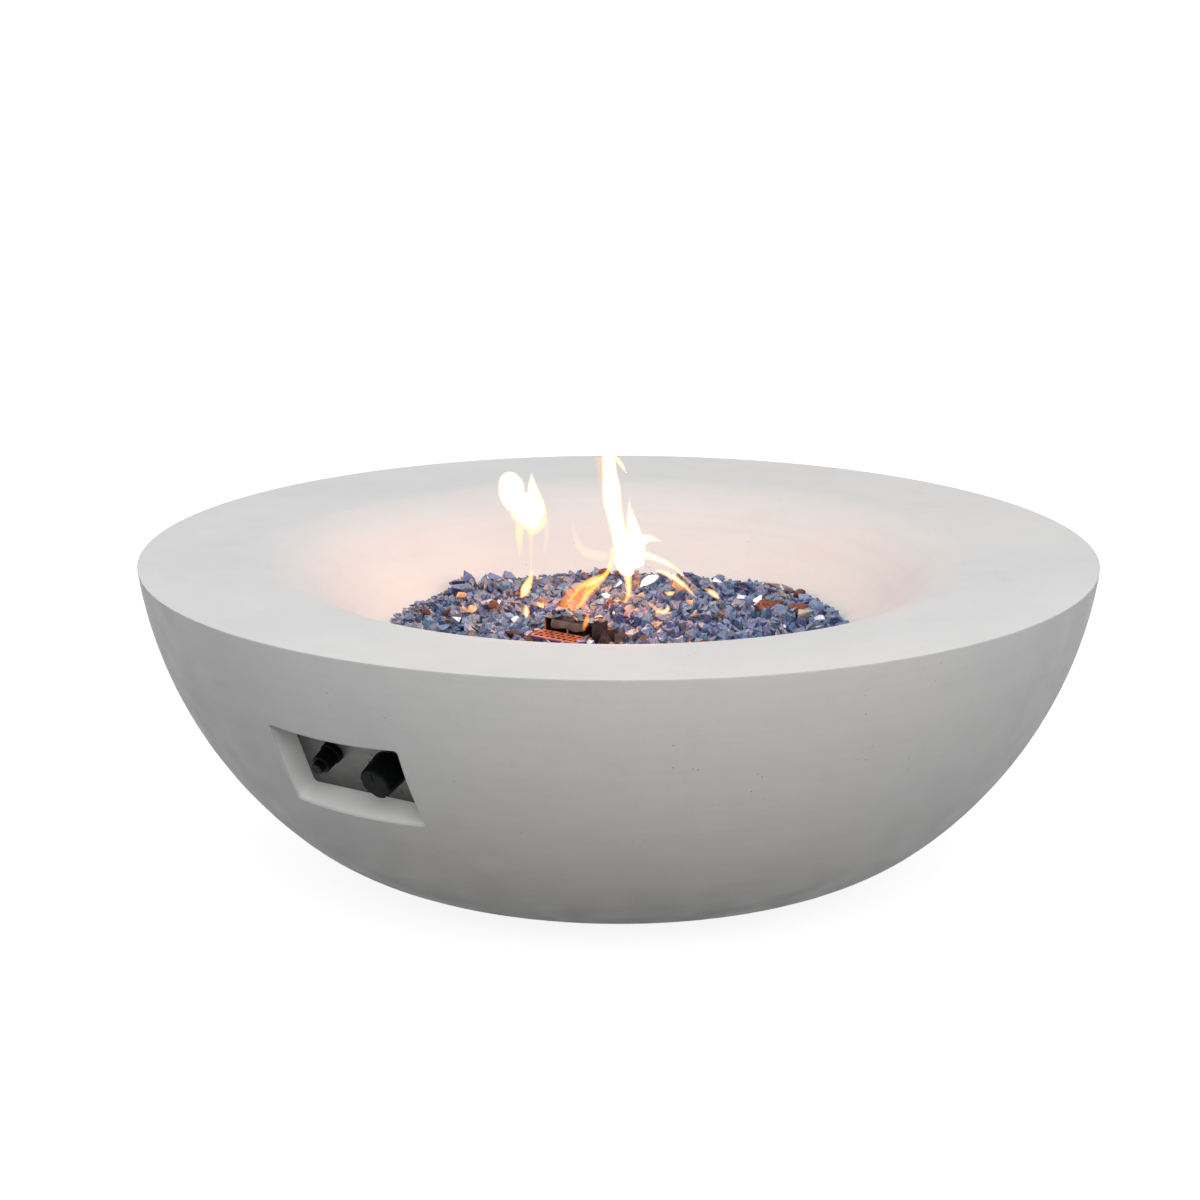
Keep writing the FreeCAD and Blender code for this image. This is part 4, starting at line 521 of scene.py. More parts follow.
SEED = 9330
BED_RADIUS, BED_EDGE_Z, BED_RISE = 0.262, 0.275, 0.004
CHIPS_BELOW = 0.001  # the chips' middles below the solid bed
LEDGE_START, LEDGE_Z = 0.222, 0.2625  # the pan's flange, which the rim of the fill lies on
LUMP_SPREAD = 0.059 * math.sqrt(math.sqrt(3) / (2 * math.pi))  # heaps 59 mm apart
LUMP_REACH, LUMP_HEIGHT = 0.026, 0.006
LUMP_MARGIN = 0.025  # between the bed's edge and the middle of the last heap
GOLDEN = math.radians(137.508)  # turn from one heap of the spiral to the next
DISH_RADIUS, DISH_Z = 0.4927, 0.6893  # the basin's sphere
HEAPLESS = (-0.004, 0.058, -0.09, 0.054)  # round the cage: middle and half width, in x and in y
rng = random.Random(SEED)
side = Vector((right.x, right.y, 0)).normalized()  # across the photograph, on the ground
away = Vector((forward.x, forward.y, 0)).normalized()  # away from the camera, on the ground


def rightward(x, y):
    return x * side.x + y * side.y


def rearward(x, y):
    return x * away.x + y * away.y


LUMPS = []  # the solid bed's heaps, in the same spiral
for index in range(1, int(((BED_RADIUS - LUMP_MARGIN) / LUMP_SPREAD) ** 2) + 1):
    far = LUMP_SPREAD * math.sqrt(index)
    lump_x, lump_y = far * math.cos(index * GOLDEN), far * math.sin(index * GOLDEN)
    if abs(lump_x - HEAPLESS[0]) >= HEAPLESS[1] or abs(lump_y - HEAPLESS[2]) >= HEAPLESS[3]:
        LUMPS.append((lump_x, lump_y))


def mound(x, y, at_u, at_v, wide, deep):
    """1 on its top, at_u to the right of the axis and at_v behind it, and little away from it."""
    u, v = rightward(x, y) - at_u, rearward(x, y) - at_v
    return math.exp(-(u / wide) ** 2 - (v / deep) ** 2)


def bed_top(x, y):
    """Height of the fill: a shallow dome with low heaps, raked thin at its left rear."""
    height = BED_EDGE_Z + BED_RISE * (1 - (x * x + y * y) / BED_RADIUS ** 2)
    rake = mound(x, y, -0.222, 0.13, 0.022, 0.075)
    heap = mound(x, y, -0.165, 0.185, 0.022, 0.05) + 0.7 * mound(x, y, 0.17, 0.15, 0.05, 0.06)
    for lump_x, lump_y in LUMPS:
        near = 1 - math.hypot(x - lump_x, y - lump_y) / LUMP_REACH
        if near > 0:
            height += LUMP_HEIGHT * near * near * (3 - 2 * near)
    return height - CHIPS_BELOW - 0.008 * rake + 0.006 * heap


SHORE_GAP = 0.005
# How much further the chips stop short of the bed's edge, by the angle in degrees.
SHORE = [(-180, 0), (-8, 0.001), (4, 0.005), (13, 0.005), (20, 0.01), (31, 0.005), (38, 0.012),
         (43, 0.023), (48, 0.012), (54, 0.031), (62, 0.018), (67, 0.027), (80, 0.014), (100, 0.008),
         (106, 0.023), (114, 0.031), (125, 0.014), (131, 0), (142, 0), (146, 0.012), (151, 0.026),
         (162, 0.036), (168, 0.018), (174, 0.004), (180, 0)]


def shore(x, y):
    """Radius at which the chips stop, on the side of x, y."""
    angle = math.degrees(math.atan2(rearward(x, y), rightward(x, y)))
    for (before, a), (after, b) in zip(SHORE, SHORE[1:]):
        if angle <= after:
            return BED_RADIUS - SHORE_GAP - a - (b - a) * (angle - before) / (after - before)


def dish(x, y):
    """Height of the basin's wall."""
    return DISH_Z - math.sqrt(DISH_RADIUS ** 2 - x * x - y * y)


def in_cage(x, y, margin):
    return CAGE[0] - margin < x < CAGE[1] + margin and CAGE[2] - margin < y < CAGE[3] + margin


def chip_shape(flat):
    """An irregular chip, about 1 across and flat times that thick."""
    points = []
    for _ in range(rng.randint(7, 10)):
        point = Vector([rng.uniform(-0.5, 0.5) for _ in range(3)])
        point /= max(abs(c) for c in point) * 2
        point *= rng.uniform(0.8, 1.05)
        point.z *= flat
        points.append(point)
    return hull(points)


def random_turn(lean=math.pi):
    return Euler((rng.uniform(-lean, lean), rng.uniform(-lean, lean), rng.uniform(0, 2 * math.pi)))


CHIP_SHAPES = [chip_shape(rng.uniform(0.45, 0.95)) for _ in range(40)]
GLASSES = {
    "blue": glass("blue", [(82, 100, 158), (114, 138, 196), (96, 118, 178), (144, 168, 214),
                           (72, 88, 142), (106, 148, 194), (134, 180, 208)], 0.34),
    "smoke": glass("smoke", [(134, 142, 164), (110, 118, 142), (164, 172, 190), (122, 138, 164),
                             (142, 144, 160)], 0.3),
    "amber": glass("amber", [(166, 122, 104), (202, 160, 134), (142, 104, 92), (214, 196, 172)],
                   0.2, rough=0.12),
    "mirror": glass("mirror", [(226, 232, 240), (244, 246, 248)], 0, rough=0.1, metallic=0.6),
    "lit": glass("lit", [(232, 140, 84), (244, 176, 116)], 0.1, rough=0.12, glow=0.45),
}
DEEP_GLASS = glass("deep", [(98, 104, 134), (114, 120, 148)], 0, rough=0.3)
# Each kind, with the share of the chips up to and with it.
SHARES = [("blue", 0.62), ("smoke", 0.9), ("amber", 0.992), ("mirror", 1)]
heaps = {name: Heap() for name in GLASSES}
CHIP_COUNT, CRUMB_COUNT = 3700, 5200  # places tried
CHIP_SIZES, CRUMB_SIZES = (0.0105, 0.0172), (0.005, 0.008)
LAYERS = ((-0.0095, 0.4), (-0.0045, 0.4), (-0.0005, 0.2))  # height on the fill, share of chips
ROCKS = [  # x, y, size across, height, tone group
    (0.1092, 0.1438, 0.03, 0.017, "red"), (0.1343, 0.1595, 0.029, 0.013, "red"),
    (0.105, 0.164, 0.018, 0.012, "red"), (-0.0588, -0.1191, 0.019, 0.011, "brown"),
    (-0.0309, -0.133, 0.015, 0.01, "brown"), (-0.1987, -0.1004, 0.016, 0.01, "brown"),
    (-0.1466, -0.0403, 0.014, 0.01, "red"), (-0.1749, -0.0853, 0.012, 0.01, "brown"),
    (0.04, -0.088, 0.024, 0.024, "dark"), (0.0174, -0.048, 0.022, 0.015, "dark"),
    (0.043, -0.069, 0.022, 0.02, "dark"), (0.0592, -0.074, 0.024, 0.019, "dark"),
    (0.075, -0.058, 0.02, 0.015, "dark"), (0.097, -0.001, 0.018, 0.009, "dark"),
    (0.0325, 0.2074, 0.016, 0.012, "red"), (0.0958, 0.2254, 0.018, 0.01, "red"),
    (-0.1484, 0.1787, 0.016, 0.012, "red"), (0.1365, -0.026, 0.016, 0.008, "red"),
    (-0.045, 0.05, 0.014, 0.01, "brown"), (-0.09, 0.015, 0.016, 0.011, "brown"),
]
PLACED = {  # chips placed one by one, as x, y, size
    "blue": [
        (-0.244, 0.02, 0.019), (-0.233, 0.006, 0.017), (-0.237, 0.032, 0.016),
        (-0.21, -0.064, 0.015), (-0.227, 0.066, 0.016), (-0.218, 0.085, 0.015),
        (-0.1984, -0.1297, 0.015), (-0.19, -0.139, 0.013), (0.1966, 0.1437, 0.016),
        (-0.011, 0.2162, 0.015), (0.0372, 0.2029, 0.017), (-0.0516, 0.2174, 0.014)],
    "lit": [
        (-0.2008, -0.0275, 0.014), (-0.1628, -0.0692, 0.012), (-0.1544, -0.07, 0.011),
        (-0.099, -0.013, 0.01), (0.0354, 0.0907, 0.01), (0.0615, -0.0083, 0.012),
        (-0.0429, 0.0575, 0.01), (-0.0216, 0.0728, 0.009)],
    "amber": [
        (0.0615, 0.2198, 0.017), (0.0819, 0.2227, 0.017), (0.1707, 0.1209, 0.017),
        (0.0955, 0.1904, 0.014), (-0.157, -0.0766, 0.015), (0.0729, 0.0499, 0.014),
        (0.093, 0.0643, 0.013), (-0.0543, 0.009, 0.013), (-0.0133, 0.1372, 0.014)],
    "mirror": [
        (0.085, 0.157, 0.014), (0.1738, 0.072, 0.011), (0.1895, 0.1217, 0.012),
        (0.0743, 0.1368, 0.011), (0.0012, 0.195, 0.012), (-0.155, -0.042, 0.015),
        (-0.1368, -0.1245, 0.015), (-0.087, -0.0774, 0.014), (-0.088, 0.1186, 0.015),
        (0.0976, 0.1407, 0.014), (0.2048, 0.0996, 0.013), (0.1827, 0.0562, 0.012),
        (-0.144, -0.034, 0.01), (0.043, -0.114, 0.01)],
}


def kind_of(pick):
    return next(name for name, top in SHARES if pick <= top)


def lay_flat(name, x, y, z, wide, flat):
    """One chip, set in a listed place that the photo shows."""
    heaps[name].drop(rng.choice(CHIP_SHAPES), random_turn(0.5), (wide, wide, wide * flat),
                     Vector((x, y, z)))


def lay_chips():
    """Layers of chips, larger at the front and bluer at the right, and the ones placed one by one.
    """
    for layer, share in LAYERS:
        for _ in range(int(CHIP_COUNT * share)):
            reach = BED_RADIUS * math.sqrt(rng.random())
            turn = rng.uniform(0, 2 * math.pi)
            x, y = reach * math.cos(turn), reach * math.sin(turn)
            pick, wide = rng.random(), rng.uniform(*CHIP_SIZES)
            wide *= 1 - 0.2 * min(1, max(0, rearward(x, y) / BED_RADIUS))
            shape, tilt = rng.choice(CHIP_SHAPES), random_turn()
            lift = layer + rng.uniform(-0.002, 0.002)
            if in_cage(x, y, wide * 0.62) or reach > shore(x, y):
                continue
            pick *= 1 - 0.32 * max(0, rightward(x, y) / BED_RADIUS)
            if any((x - rx) ** 2 + (y - ry) ** 2 < (rs * 0.42) ** 2 for rx, ry, rs, _, _ in ROCKS):
                lift -= 0.006
            z = max(bed_top(x, y) + lift, dish(x, y) + wide * 0.36)
            size = [wide * rng.uniform(0.8, 1.15) for _ in range(3)]
            heaps[kind_of(pick)].drop(shape, tilt, size, Vector((x, y, z)))
    for name, rows in PLACED.items():
        for x, y, wide in rows:
            lay_flat(name, x, y, bed_top(x, y) + 0.0055, wide, 0.8)


HOOD_CHIPS = [  # on the hood and over the grille's ends: x, y, z, size, kind
    (-0.031, -0.066, 0.299, 0.016, "smoke"), (-0.018, -0.07, 0.2985, 0.014, "amber"),
    (-0.006, -0.066, 0.2995, 0.017, "smoke"), (0.008, -0.07, 0.299, 0.015, "blue"),
    (0.02, -0.066, 0.2995, 0.016, "smoke"), (0.026, -0.078, 0.298, 0.013, "smoke"),
    (-0.011, -0.08, 0.2985, 0.014, "smoke"), (-0.026, -0.081, 0.298, 0.013, "blue"),
    (0.013, -0.083, 0.2985, 0.014, "smoke"), (0.002, -0.085, 0.298, 0.011, "amber"),
    (0.021, -0.087, 0.298, 0.015, "smoke"), (-0.019, -0.087, 0.2975, 0.012, "smoke"),
    (-0.0355, -0.106, 0.2835, 0.012, "amber"), (-0.0375, -0.118, 0.282, 0.013, "blue"),
    (0.029, -0.1, 0.2835, 0.011, "smoke"), (0.03, -0.113, 0.2825, 0.012, "blue"),
]


def lay_crumbs():
    """Small flat crumbs on the ledge between the heaped chips and the edge of the fill."""
    for _ in range(CRUMB_COUNT):
        reach, turn = rng.uniform(LEDGE_START, BED_RADIUS - 0.004), rng.uniform(0, 2 * math.pi)
        x, y = reach * math.cos(turn), reach * math.sin(turn)
        shape, wide, pick = rng.choice(CHIP_SHAPES), rng.uniform(*CRUMB_SIZES), rng.random()
        if reach < shore(x, y) - 0.004:
            continue
        heaps[kind_of(pick)].drop(shape, random_turn(0.2), (wide, wide, wide * 0.42),
                                  Vector((x, y, max(LEDGE_Z, dish(x, y)) + 0.0012)))


lay_chips()
lay_crumbs()
for x, y, z, wide, name in HOOD_CHIPS:
    lay_flat(name, x, y, z, wide, 0.6)
for name, heap in heaps.items():
    piece("glass_" + name, heap.vertices, heap.faces, GLASSES[name], slot="fire_glass",
          replaces="fire_glass")


def bed():
    """The dark mass of chips below the top ones, as one lumpy solid round the pilot cage."""
    steps, base = 60, 0.2425
    pitch = 2 * BED_RADIUS / steps
    vertices, faces, index = [], [], {}

    def inside(i, j):
        x, y = (i + 0.5) * pitch - BED_RADIUS, (j + 0.5) * pitch - BED_RADIUS
        return math.hypot(x, y) < shore(x, y) - 0.006 and not in_cage(x, y, pitch / 2 + 0.001)

    def corner(i, j, top):
        if (i, j, top) not in index:
            x, y = i * pitch - BED_RADIUS, j * pitch - BED_RADIUS
            reach = math.hypot(x, y)
            low = base if reach < LEDGE_START else max(LEDGE_Z, dish(x, y) + 0.0005)
            index[i, j, top] = len(vertices)
            lump = rng.uniform(-0.0025, 0.001)
            height = max(bed_top(x, y) - 0.009 + lump, low + 0.001) if top else low
            vertices.append((x, y, height))
        return index[i, j, top]

    for i in range(steps):
        for j in range(steps):
            if not inside(i, j):
                continue
            ring = [(i, j), (i + 1, j), (i + 1, j + 1), (i, j + 1)]
            faces.append([corner(*c, True) for c in ring])
            faces.append([corner(*c, False) for c in reversed(ring)])
            for (a, b), (di, dj) in zip(zip(ring, ring[1:] + ring[:1]),
                                        ((0, -1), (1, 0), (0, 1), (-1, 0))):
                if not inside(i + di, j + dj):
                    faces.append([corner(*a, True), corner(*a, False), corner(*b, False),
                                  corner(*b, True)])
    return vertices, faces


piece("glass_bed", *bed(), DEEP_GLASS, slot="fire_glass", replaces="fire_glass")


# ---- lava rocks on the glass

ROCK_TONES = {
    "red": [(134, 84, 68), (122, 72, 56), (152, 98, 80)],
    "brown": [(112, 76, 64), (92, 62, 52), (128, 88, 72)],
    "dark": [(104, 90, 80), (82, 74, 70), (122, 100, 86)],
}


def rock_shape(seed):
    """A lump with dents, about 1 across."""
    form = bmesh.new()
    bmesh.ops.create_icosphere(form, subdivisions=3, radius=0.5)
    local = random.Random(seed)
    cuts = [(Vector([local.gauss(0, 1) for _ in range(3)]).normalized(),
             local.uniform(0.3, 0.44)) for _ in range(9)]
    for vertex in form.verts:
        for normal, depth in cuts:
            over = vertex.co.dot(normal) - depth
            if over > 0:
                vertex.co -= normal * over * 0.85
        vertex.co *= local.uniform(0.965, 1.03)
    return taken(form)


for group, tones in ROCK_TONES.items():
    heap = Heap()
    for i, (x, y, wide, high, kind) in enumerate(ROCKS):
        if kind == group:
            turn = Euler((rng.uniform(-0.3, 0.3), rng.uniform(-0.3, 0.3), rng.uniform(0, 6.28)))
            # Dark rocks are broken and angular, the others are tumbled.
            form = CHIP_SHAPES[i % len(CHIP_SHAPES)] if group == "dark" else rock_shape(SEED + i)
            tall = high * 1.5 if group == "dark" else high
            heap.drop(form, turn, (wide * 1.15, wide * 0.95, tall),
                      Vector((x, y, bed_top(x, y) + high * 0.12)))
    piece("lava_" + group, heap.vertices, heap.faces, lava("lava_" + group, tones),
          slot="lava", smooth=group != "dark", replaces="fire_glass")


# ---- springs as pieces of their own

def soft_spring(node, body):
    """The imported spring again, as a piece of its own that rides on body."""
    mesh = nodes[node].data.copy()
    coil = shown(node + "_coil", mesh)
    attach(coil, body)
    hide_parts(node)
    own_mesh(coil)


soft_spring("knob_spring", "valve_plug")
soft_spring("button_spring", "igniter_cap")


# ---- lip of the pilot hood

def hood_lip():
    """The hood's front edge, bent down over the slit that the pilot's flame comes out of."""
    columns, rows = 22, 6
    left, wide, top, tall, gauge = -0.0262, 0.044, 0.2944, 0.0086, 0.0008
    vertices = []
    for back in (0, gauge):
        for i in range(columns + 1):
            for j in range(rows + 1):
                u, v = i / columns, j / rows
                bow = 0.0016 * math.sin(math.pi * v * 0.5) + 0.0006 * math.sin(14 * u + 2 * v)
                vertices.append((left + wide * u, -0.0903 - bow + back,
                                 top - tall * v * (1 + 0.12 * math.sin(11 * u))))
    across = rows + 1
    sheet = (columns + 1) * across
    faces = []
    for i in range(columns):
        for j in range(rows):
            a = i * across + j
            faces.append([a, a + 1, a + across + 1, a + across])
            faces.append([sheet + a, sheet + a + across, sheet + a + across + 1, sheet + a + 1])
    edge = ([i * across for i in range(columns + 1)]
            + [columns * across + j for j in range(1, rows + 1)]
            + [i * across + rows for i in range(columns - 1, -1, -1)]
            + [j for j in range(rows - 1, 0, -1)])
    for a, b in zip(edge, edge[1:] + edge[:1]):
        faces.append([a, b, sheet + b, sheet + a])
    return vertices, faces


piece("hood_lip", *hood_lip(),
      metal("lip_steel", srgb(140, 122, 114), 0.55, (1, 1, 0.12), scale=420,
            stain=srgb(112, 88, 80), stain_share=0.8), slot="sooted_steel")


# ---- marks on the control plate

PANEL_CENTRE = Vector((0, -0.4524, 0.2268))
PLATE_FACE = 0.0015


def mark(name, outline, at, size):
    """A thin printed mark on the control plate: outline is in its own units, about 1 across."""
    vertices = []
    for height in (PLATE_FACE + 0.00012, PLATE_FACE - 0.0002):
        for x, y in outline:
            vertices.append(PANEL_CENTRE + Vector((at[0] + x * size, 0, 0))
                            + PANEL_UP * (at[1] + y * size) + PANEL_OUT * height)
    count = len(outline)
    faces = [list(range(count)), list(range(2 * count - 1, count - 1, -1))]
    faces += [[i, i + count, (i + 1) % count + count, (i + 1) % count] for i in range(count)]
    return piece(name, vertices, faces, INK, slot="black_plastic")


FLAME = [(0, -0.5), (0.22, -0.44), (0.36, -0.26), (0.38, -0.04), (0.28, 0.16), (0.22, 0.02),
         (0.14, 0.2), (0.04, 0.36), (0.02, 0.54), (-0.1, 0.36), (-0.2, 0.2), (-0.3, 0.02),
         (-0.37, -0.18), (-0.32, -0.36), (-0.18, -0.47)]
BOLT = [(-0.05, -0.5), (0.28, 0.1), (0.06, 0.06), (0.16, 0.5), (-0.26, -0.06), (-0.02, -0.04)]
DOT = [(0.5 * math.cos(a * math.pi / 8), 0.5 * math.sin(a * math.pi / 8)) for a in range(16)]
INK = moulded("mark_ink", srgb(38, 38, 40), 0.5, wear=0.3)
mark("mark_high", FLAME, (0.007, -0.005), 0.008)
mark("mark_low", FLAME, (0.0369, -0.039), 0.0052)
mark("mark_off", DOT, (0.0134, 0.0055), 0.003)
mark("mark_spark", BOLT, (-0.0775, -0.043), 0.0085)


# ---- flames

def gas(name, colour, strength, keeps=(1, 1, 1), density=0):
    """Burning gas: light given off along the whole depth of the flame. Where density is given it
    also holds back the colours that keeps lacks, so that it shows against pale concrete."""
    material, tree = bare_material("flame_" + name)
    glow = tree.add("Emission", {"Color": (*colour, 1), "Strength": strength})
    haze = tree.add("VolumeAbsorption", {"Color": (*keeps, 1), "Density": density})
    both = tree.add("AddShader", {0: glow.outputs[0], 1: haze.outputs[0]})
    tree.add("OutputMaterial", {"Volume": both.outputs[0]})
    return material


def smooth_line(rows):
    """Catmull-Rom points through the rows, with the numbers in each row."""
    found, padded = [], [rows[0], *rows, rows[-1]]
    for four in zip(padded, padded[1:], padded[2:], padded[3:]):
        for t in [i / STEPS for i in range(STEPS)]:
            found.append([0.5 * (2 * p1 + (p2 - p0) * t + (2 * p0 - 5 * p1 + 4 * p2 - p3) * t * t
                                 + (3 * p1 - p0 - 3 * p2 + p3) * t ** 3)
                          for p0, p1, p2, p3 in zip(*four)])
    return found + [list(rows[-1])]


EDGE = gas("edge", (1, 0.64, 0.28), 70, (1, 0.84, 0.46), 75)
CORE = gas("core", (1, 0.93, 0.82), 210)
WHITE = gas("white", (1, 0.88, 0.66), 420)
HOT = gas("hot", (1, 0.72, 0.34), 330)
VEIL = gas("veil", (1, 0.3, 0.05), 62, (1, 0.62, 0.25), 60)
BAND = gas("band", (1, 0.42, 0.09), 330, (1, 0.7, 0.25), 90)
GLOW = gas("glow", (1, 0.45, 0.22), 30, (1, 0.7, 0.45), 60)
GHOST = gas("ghost", (1, 0.78, 0.42), 18, (1, 0.94, 0.62), 22)
PIXEL = 0.00112  # size of the photograph's pixel at the bowl's axis
THINNEST = 0.0002  # least half width of a flame
STEPS = 9  # from each of its rows to the next


def at(px, py, depth):
    """Across and height of the photograph's pixel in the plane that is depth behind the axis."""
    v = forward + right * ((px - IMAGE / 2) / FOCAL) + up * ((IMAGE / 2 - py) / FOCAL)
    point = EYE + v * ((away * depth - Vector((EYE.x, EYE.y, 0))).dot(away) / v.dot(away))
    return point.dot(side), point.z


def tongue(name, material, depth, rows, fatness=0.6, wider=0):
    """A flame staged in the upright plane that faces the photograph, depth behind the axis.
    rows are pixel x, pixel y and half width in pixels, from one end to the other."""
    line = smooth_line([(*at(px, py, depth), max(half + wider, 0.2) * PIXEL)
                        for px, py, half in rows])
    around, vertices, faces = 14, [], []
    for k, (across, height, half) in enumerate(line):
        before, after = line[max(k - 1, 0)], line[min(k + 1, len(line) - 1)]
        run = Vector((after[0] - before[0], after[1] - before[1]))
        run = run.normalized() if run.length > 1e-9 else Vector((0, 1))
        half = max(half, THINNEST)
        for j in range(around):
            turn = 2 * math.pi * j / around
            wide, deep = half * math.cos(turn), half * fatness * math.sin(turn)
            point = side * (across + wide * run.y) + away * (depth + deep)
            vertices.append((point.x, point.y, height - wide * run.x))
    for k in range(len(line) - 1):
        for j in range(around):
            a, b = k * around + j, k * around + (j + 1) % around
            faces.append([a, b, b + around, a + around])
    faces.append(list(range(around))[::-1])
    faces.append([len(vertices) - around + j for j in range(around)])
    made = piece(name, vertices, faces, material, body=None, smooth=True)
    made.visible_shadow = False


def flame(name, depth, rows, inset=1.5, skin=EDGE, core=CORE):
    """A white-hot flame with a thin, yellower skin."""
    tongue(name, skin, depth, rows)
    tongue(name + "_core", core, depth, rows, 0.5, -inset)


LEFT, MAIN, NEAR = 0.085, 0.03, -0.03  # planes of the flames, behind the axis
# Left flame: a body that splits into a round lobe and a pointed one, over thin tails.
tongue("flame_left", EDGE, LEFT, [
    (532, 535, 3), (533, 530, 9), (533, 524, 14.5), (531.5, 518, 17), (528, 510, 18.8),
    (524.5, 501, 18), (522, 495, 11)], 0.35)
tongue("flame_left_core", CORE, LEFT, [
    (532, 529, 3), (532, 524, 9), (530.5, 517, 14), (528, 509, 16.5), (524.5, 501, 16),
    (522, 495, 9)], 0.3)
flame("flame_left_round", LEFT, [
    (518, 506, 12), (512.5, 495, 14), (511, 485, 13.6), (511, 478, 11.5), (512, 472.5, 5)])
flame("flame_left_point", LEFT, [
    (538, 514, 9), (535.5, 501, 8), (533, 490, 6.2), (532, 481, 3.8), (531.3, 472, 0.3)], 1.2)
tongue("flame_left_tail", EDGE, LEFT, [
    (520, 524, 5), (519.5, 534, 4.4), (519.7, 546, 2.8), (519.8, 557, 0.3)])
tongue("flame_left_neck", EDGE, LEFT, [
    (531, 528, 4.5), (531, 542, 1.9), (531, 558, 1.2), (531.5, 573, 0.9)])
tongue("flame_left_veil", GHOST, LEFT, [
    (547, 518, 2.5), (547, 532, 3), (545, 548, 1.8), (543, 560, 0.4)])
flame("flame_left_root", LEFT, [
    (531.8, 571, 0.8), (530.5, 578, 3), (527.6, 585, 4.8), (524.5, 591, 4.8), (521, 598, 1.2)], 1.5,
    BAND, HOT)
tongue("flame_left_foot", BAND, LEFT, [(519, 597, 0.5), (524, 596, 1.2), (530, 595.5, 0.4)])
flame("flame_small", NEAR, [
    (526.3, 618, 1), (526.5, 613, 3.4), (526.3, 608, 2.4), (526.3, 604.5, 0.2)], 1.4, BAND, WHITE)
# Main flame: a column with a pointed side flame and a lick, on splayed legs.
COLUMN = [
    (632, 575, 4), (628.5, 570, 10.5), (627, 560, 14.2), (624, 549, 11.5), (619.5, 534, 9),
    (615.5, 518, 8.8), (612.5, 503, 9.8), (611.3, 488, 9.8), (609.5, 472, 8.2), (608.5, 457, 7.6)]
tongue("flame_main", EDGE, MAIN, COLUMN)
tongue("flame_main_core", CORE, MAIN, COLUMN + [(607, 447, 4.5), (606, 439, 0.5)], 0.5, -1.5)
tongue("flame_main_glow", GLOW, MAIN, [
    (603, 457, 9.5), (602.5, 468, 7), (602, 480, 4.5), (603, 492, 1)], 0.5)
flame("flame_main_side", MAIN, [
    (636, 566, 8), (636.5, 552, 10), (635, 538, 8.6), (631.8, 522, 6), (629.8, 509, 2.8),
    (629.3, 498, 0.3)], 1.2)
flame("flame_lick", MAIN, [
    (634, 548, 9), (641, 541, 7), (649, 538.5, 4.6), (656, 539.8, 2.6), (662, 541.5, 0.4)], 1.3)
flame("flame_hook", MAIN, [
    (615, 457, 2), (619, 461.5, 2.4), (622.5, 466.5, 2.2), (626, 473, 0.3)], 1.2, BAND, WHITE)
tongue("flame_ghost", GHOST, MAIN, [
    (572.5, 521, 0.8), (574.5, 534, 2.6), (579.5, 546, 4.4), (588, 553, 5.6), (600, 556, 5.4),
    (610, 556, 3)])
# Legs of the main flame, over the chips.
tongue("leg_left", VEIL, MAIN, [
    (560, 615, 4), (569, 604, 9.5), (580, 593, 11), (593, 585, 8), (603, 578, 4), (610, 568, 1.8)])
tongue("leg_left_neck", BAND, MAIN, [
    (605, 576, 2.2), (609.5, 568, 2.4), (611.5, 559, 2.2), (613, 549, 2.6)])
tongue("leg_left_upper", BAND, MAIN, [
    (563, 609, 0.6), (572, 597, 1.7), (583, 585.5, 2.9), (595, 579.5, 3.4), (605, 575, 2.6),
    (610.5, 567, 1.4)])
tongue("leg_left_mid", HOT, MAIN, [
    (584, 592, 0.5), (589.5, 585, 1.9), (597, 580.5, 2.2), (605, 575.5, 1)])
tongue("leg_left_lower", BAND, MAIN, [
    (572, 614, 0.5), (581, 604, 2.2), (588, 593, 3), (597, 584, 2.8), (606, 577, 1)])
flame("leg_left_low", -0.1, [
    (583, 631, 1.2), (585.5, 624, 3.4), (587.5, 616, 2.8), (590.5, 607, 0.4)], 1.2, VEIL, BAND)
flame("leg_mid", MAIN, [
    (620, 601, 0.8), (625.5, 601, 1.9), (628.6, 594, 2.9), (628.3, 582, 3.6), (627, 568, 6)], 1.6,
    BAND, HOT)
tongue("leg_mid_right", VEIL, MAIN, [(640, 597, 0.6), (637, 586, 3), (637, 573, 4.4)])
flame("leg_right_upper", 0.05, [
    (681, 572, 0.4), (670, 565, 2.4), (656, 558.5, 3.2), (641, 553.5, 4.5)], 1.2, BAND, WHITE)
flame("leg_right", 0.05, [
    (697, 598.5, 0.5), (689, 590, 2.1), (678, 580.5, 3.2), (667, 574, 3), (656, 570.5, 1.2)], 1.3,
    BAND, WHITE)
tongue("leg_right_far", BAND, 0.05, [
    (702, 592, 0.3), (692, 584, 1), (683, 576, 1.4), (676, 569, 1.2)])
tongue("leg_right_low", VEIL, 0.05, [(688, 594, 0.4), (680, 587, 2.4), (671, 580, 3)])
tongue("leg_bright", WHITE, 0.02, [
    (640, 587.5, 0.6), (645, 582, 3.8), (652, 578.5, 4.2), (659, 576, 0.8)])
flame("leg_far_right", 0.08, [
    (721, 600, 0.5), (715, 595, 3.2), (709, 590.5, 2.4), (704, 589, 0.4)], 1.6, BAND, WHITE)
flame("flame_spot_a", 0.03, [
    (664, 592, 0.8), (670, 593.6, 3), (675.5, 591.5, 0.8)], 1.5, BAND, WHITE)
tongue("flame_spot_b", BAND, 0.02, [(646, 601, 0.6), (652, 605.5, 1.9), (659, 611.5, 2.2)])
flame("flame_spot_c", 0.02, [
    (658, 611, 1.2), (664, 612.6, 2.6), (667.8, 609, 2.4), (667.2, 603.5, 0.5)], 1.2, BAND, WHITE)


# ---- light

LIT_POINT = Vector((0, 0, 0.2))


def shine(name, lamp, place):
    """Puts a lamp in the scene, unseen by the camera."""
    made = shown(name, lamp)
    made.location = place
    made.visible_camera = False
    return made


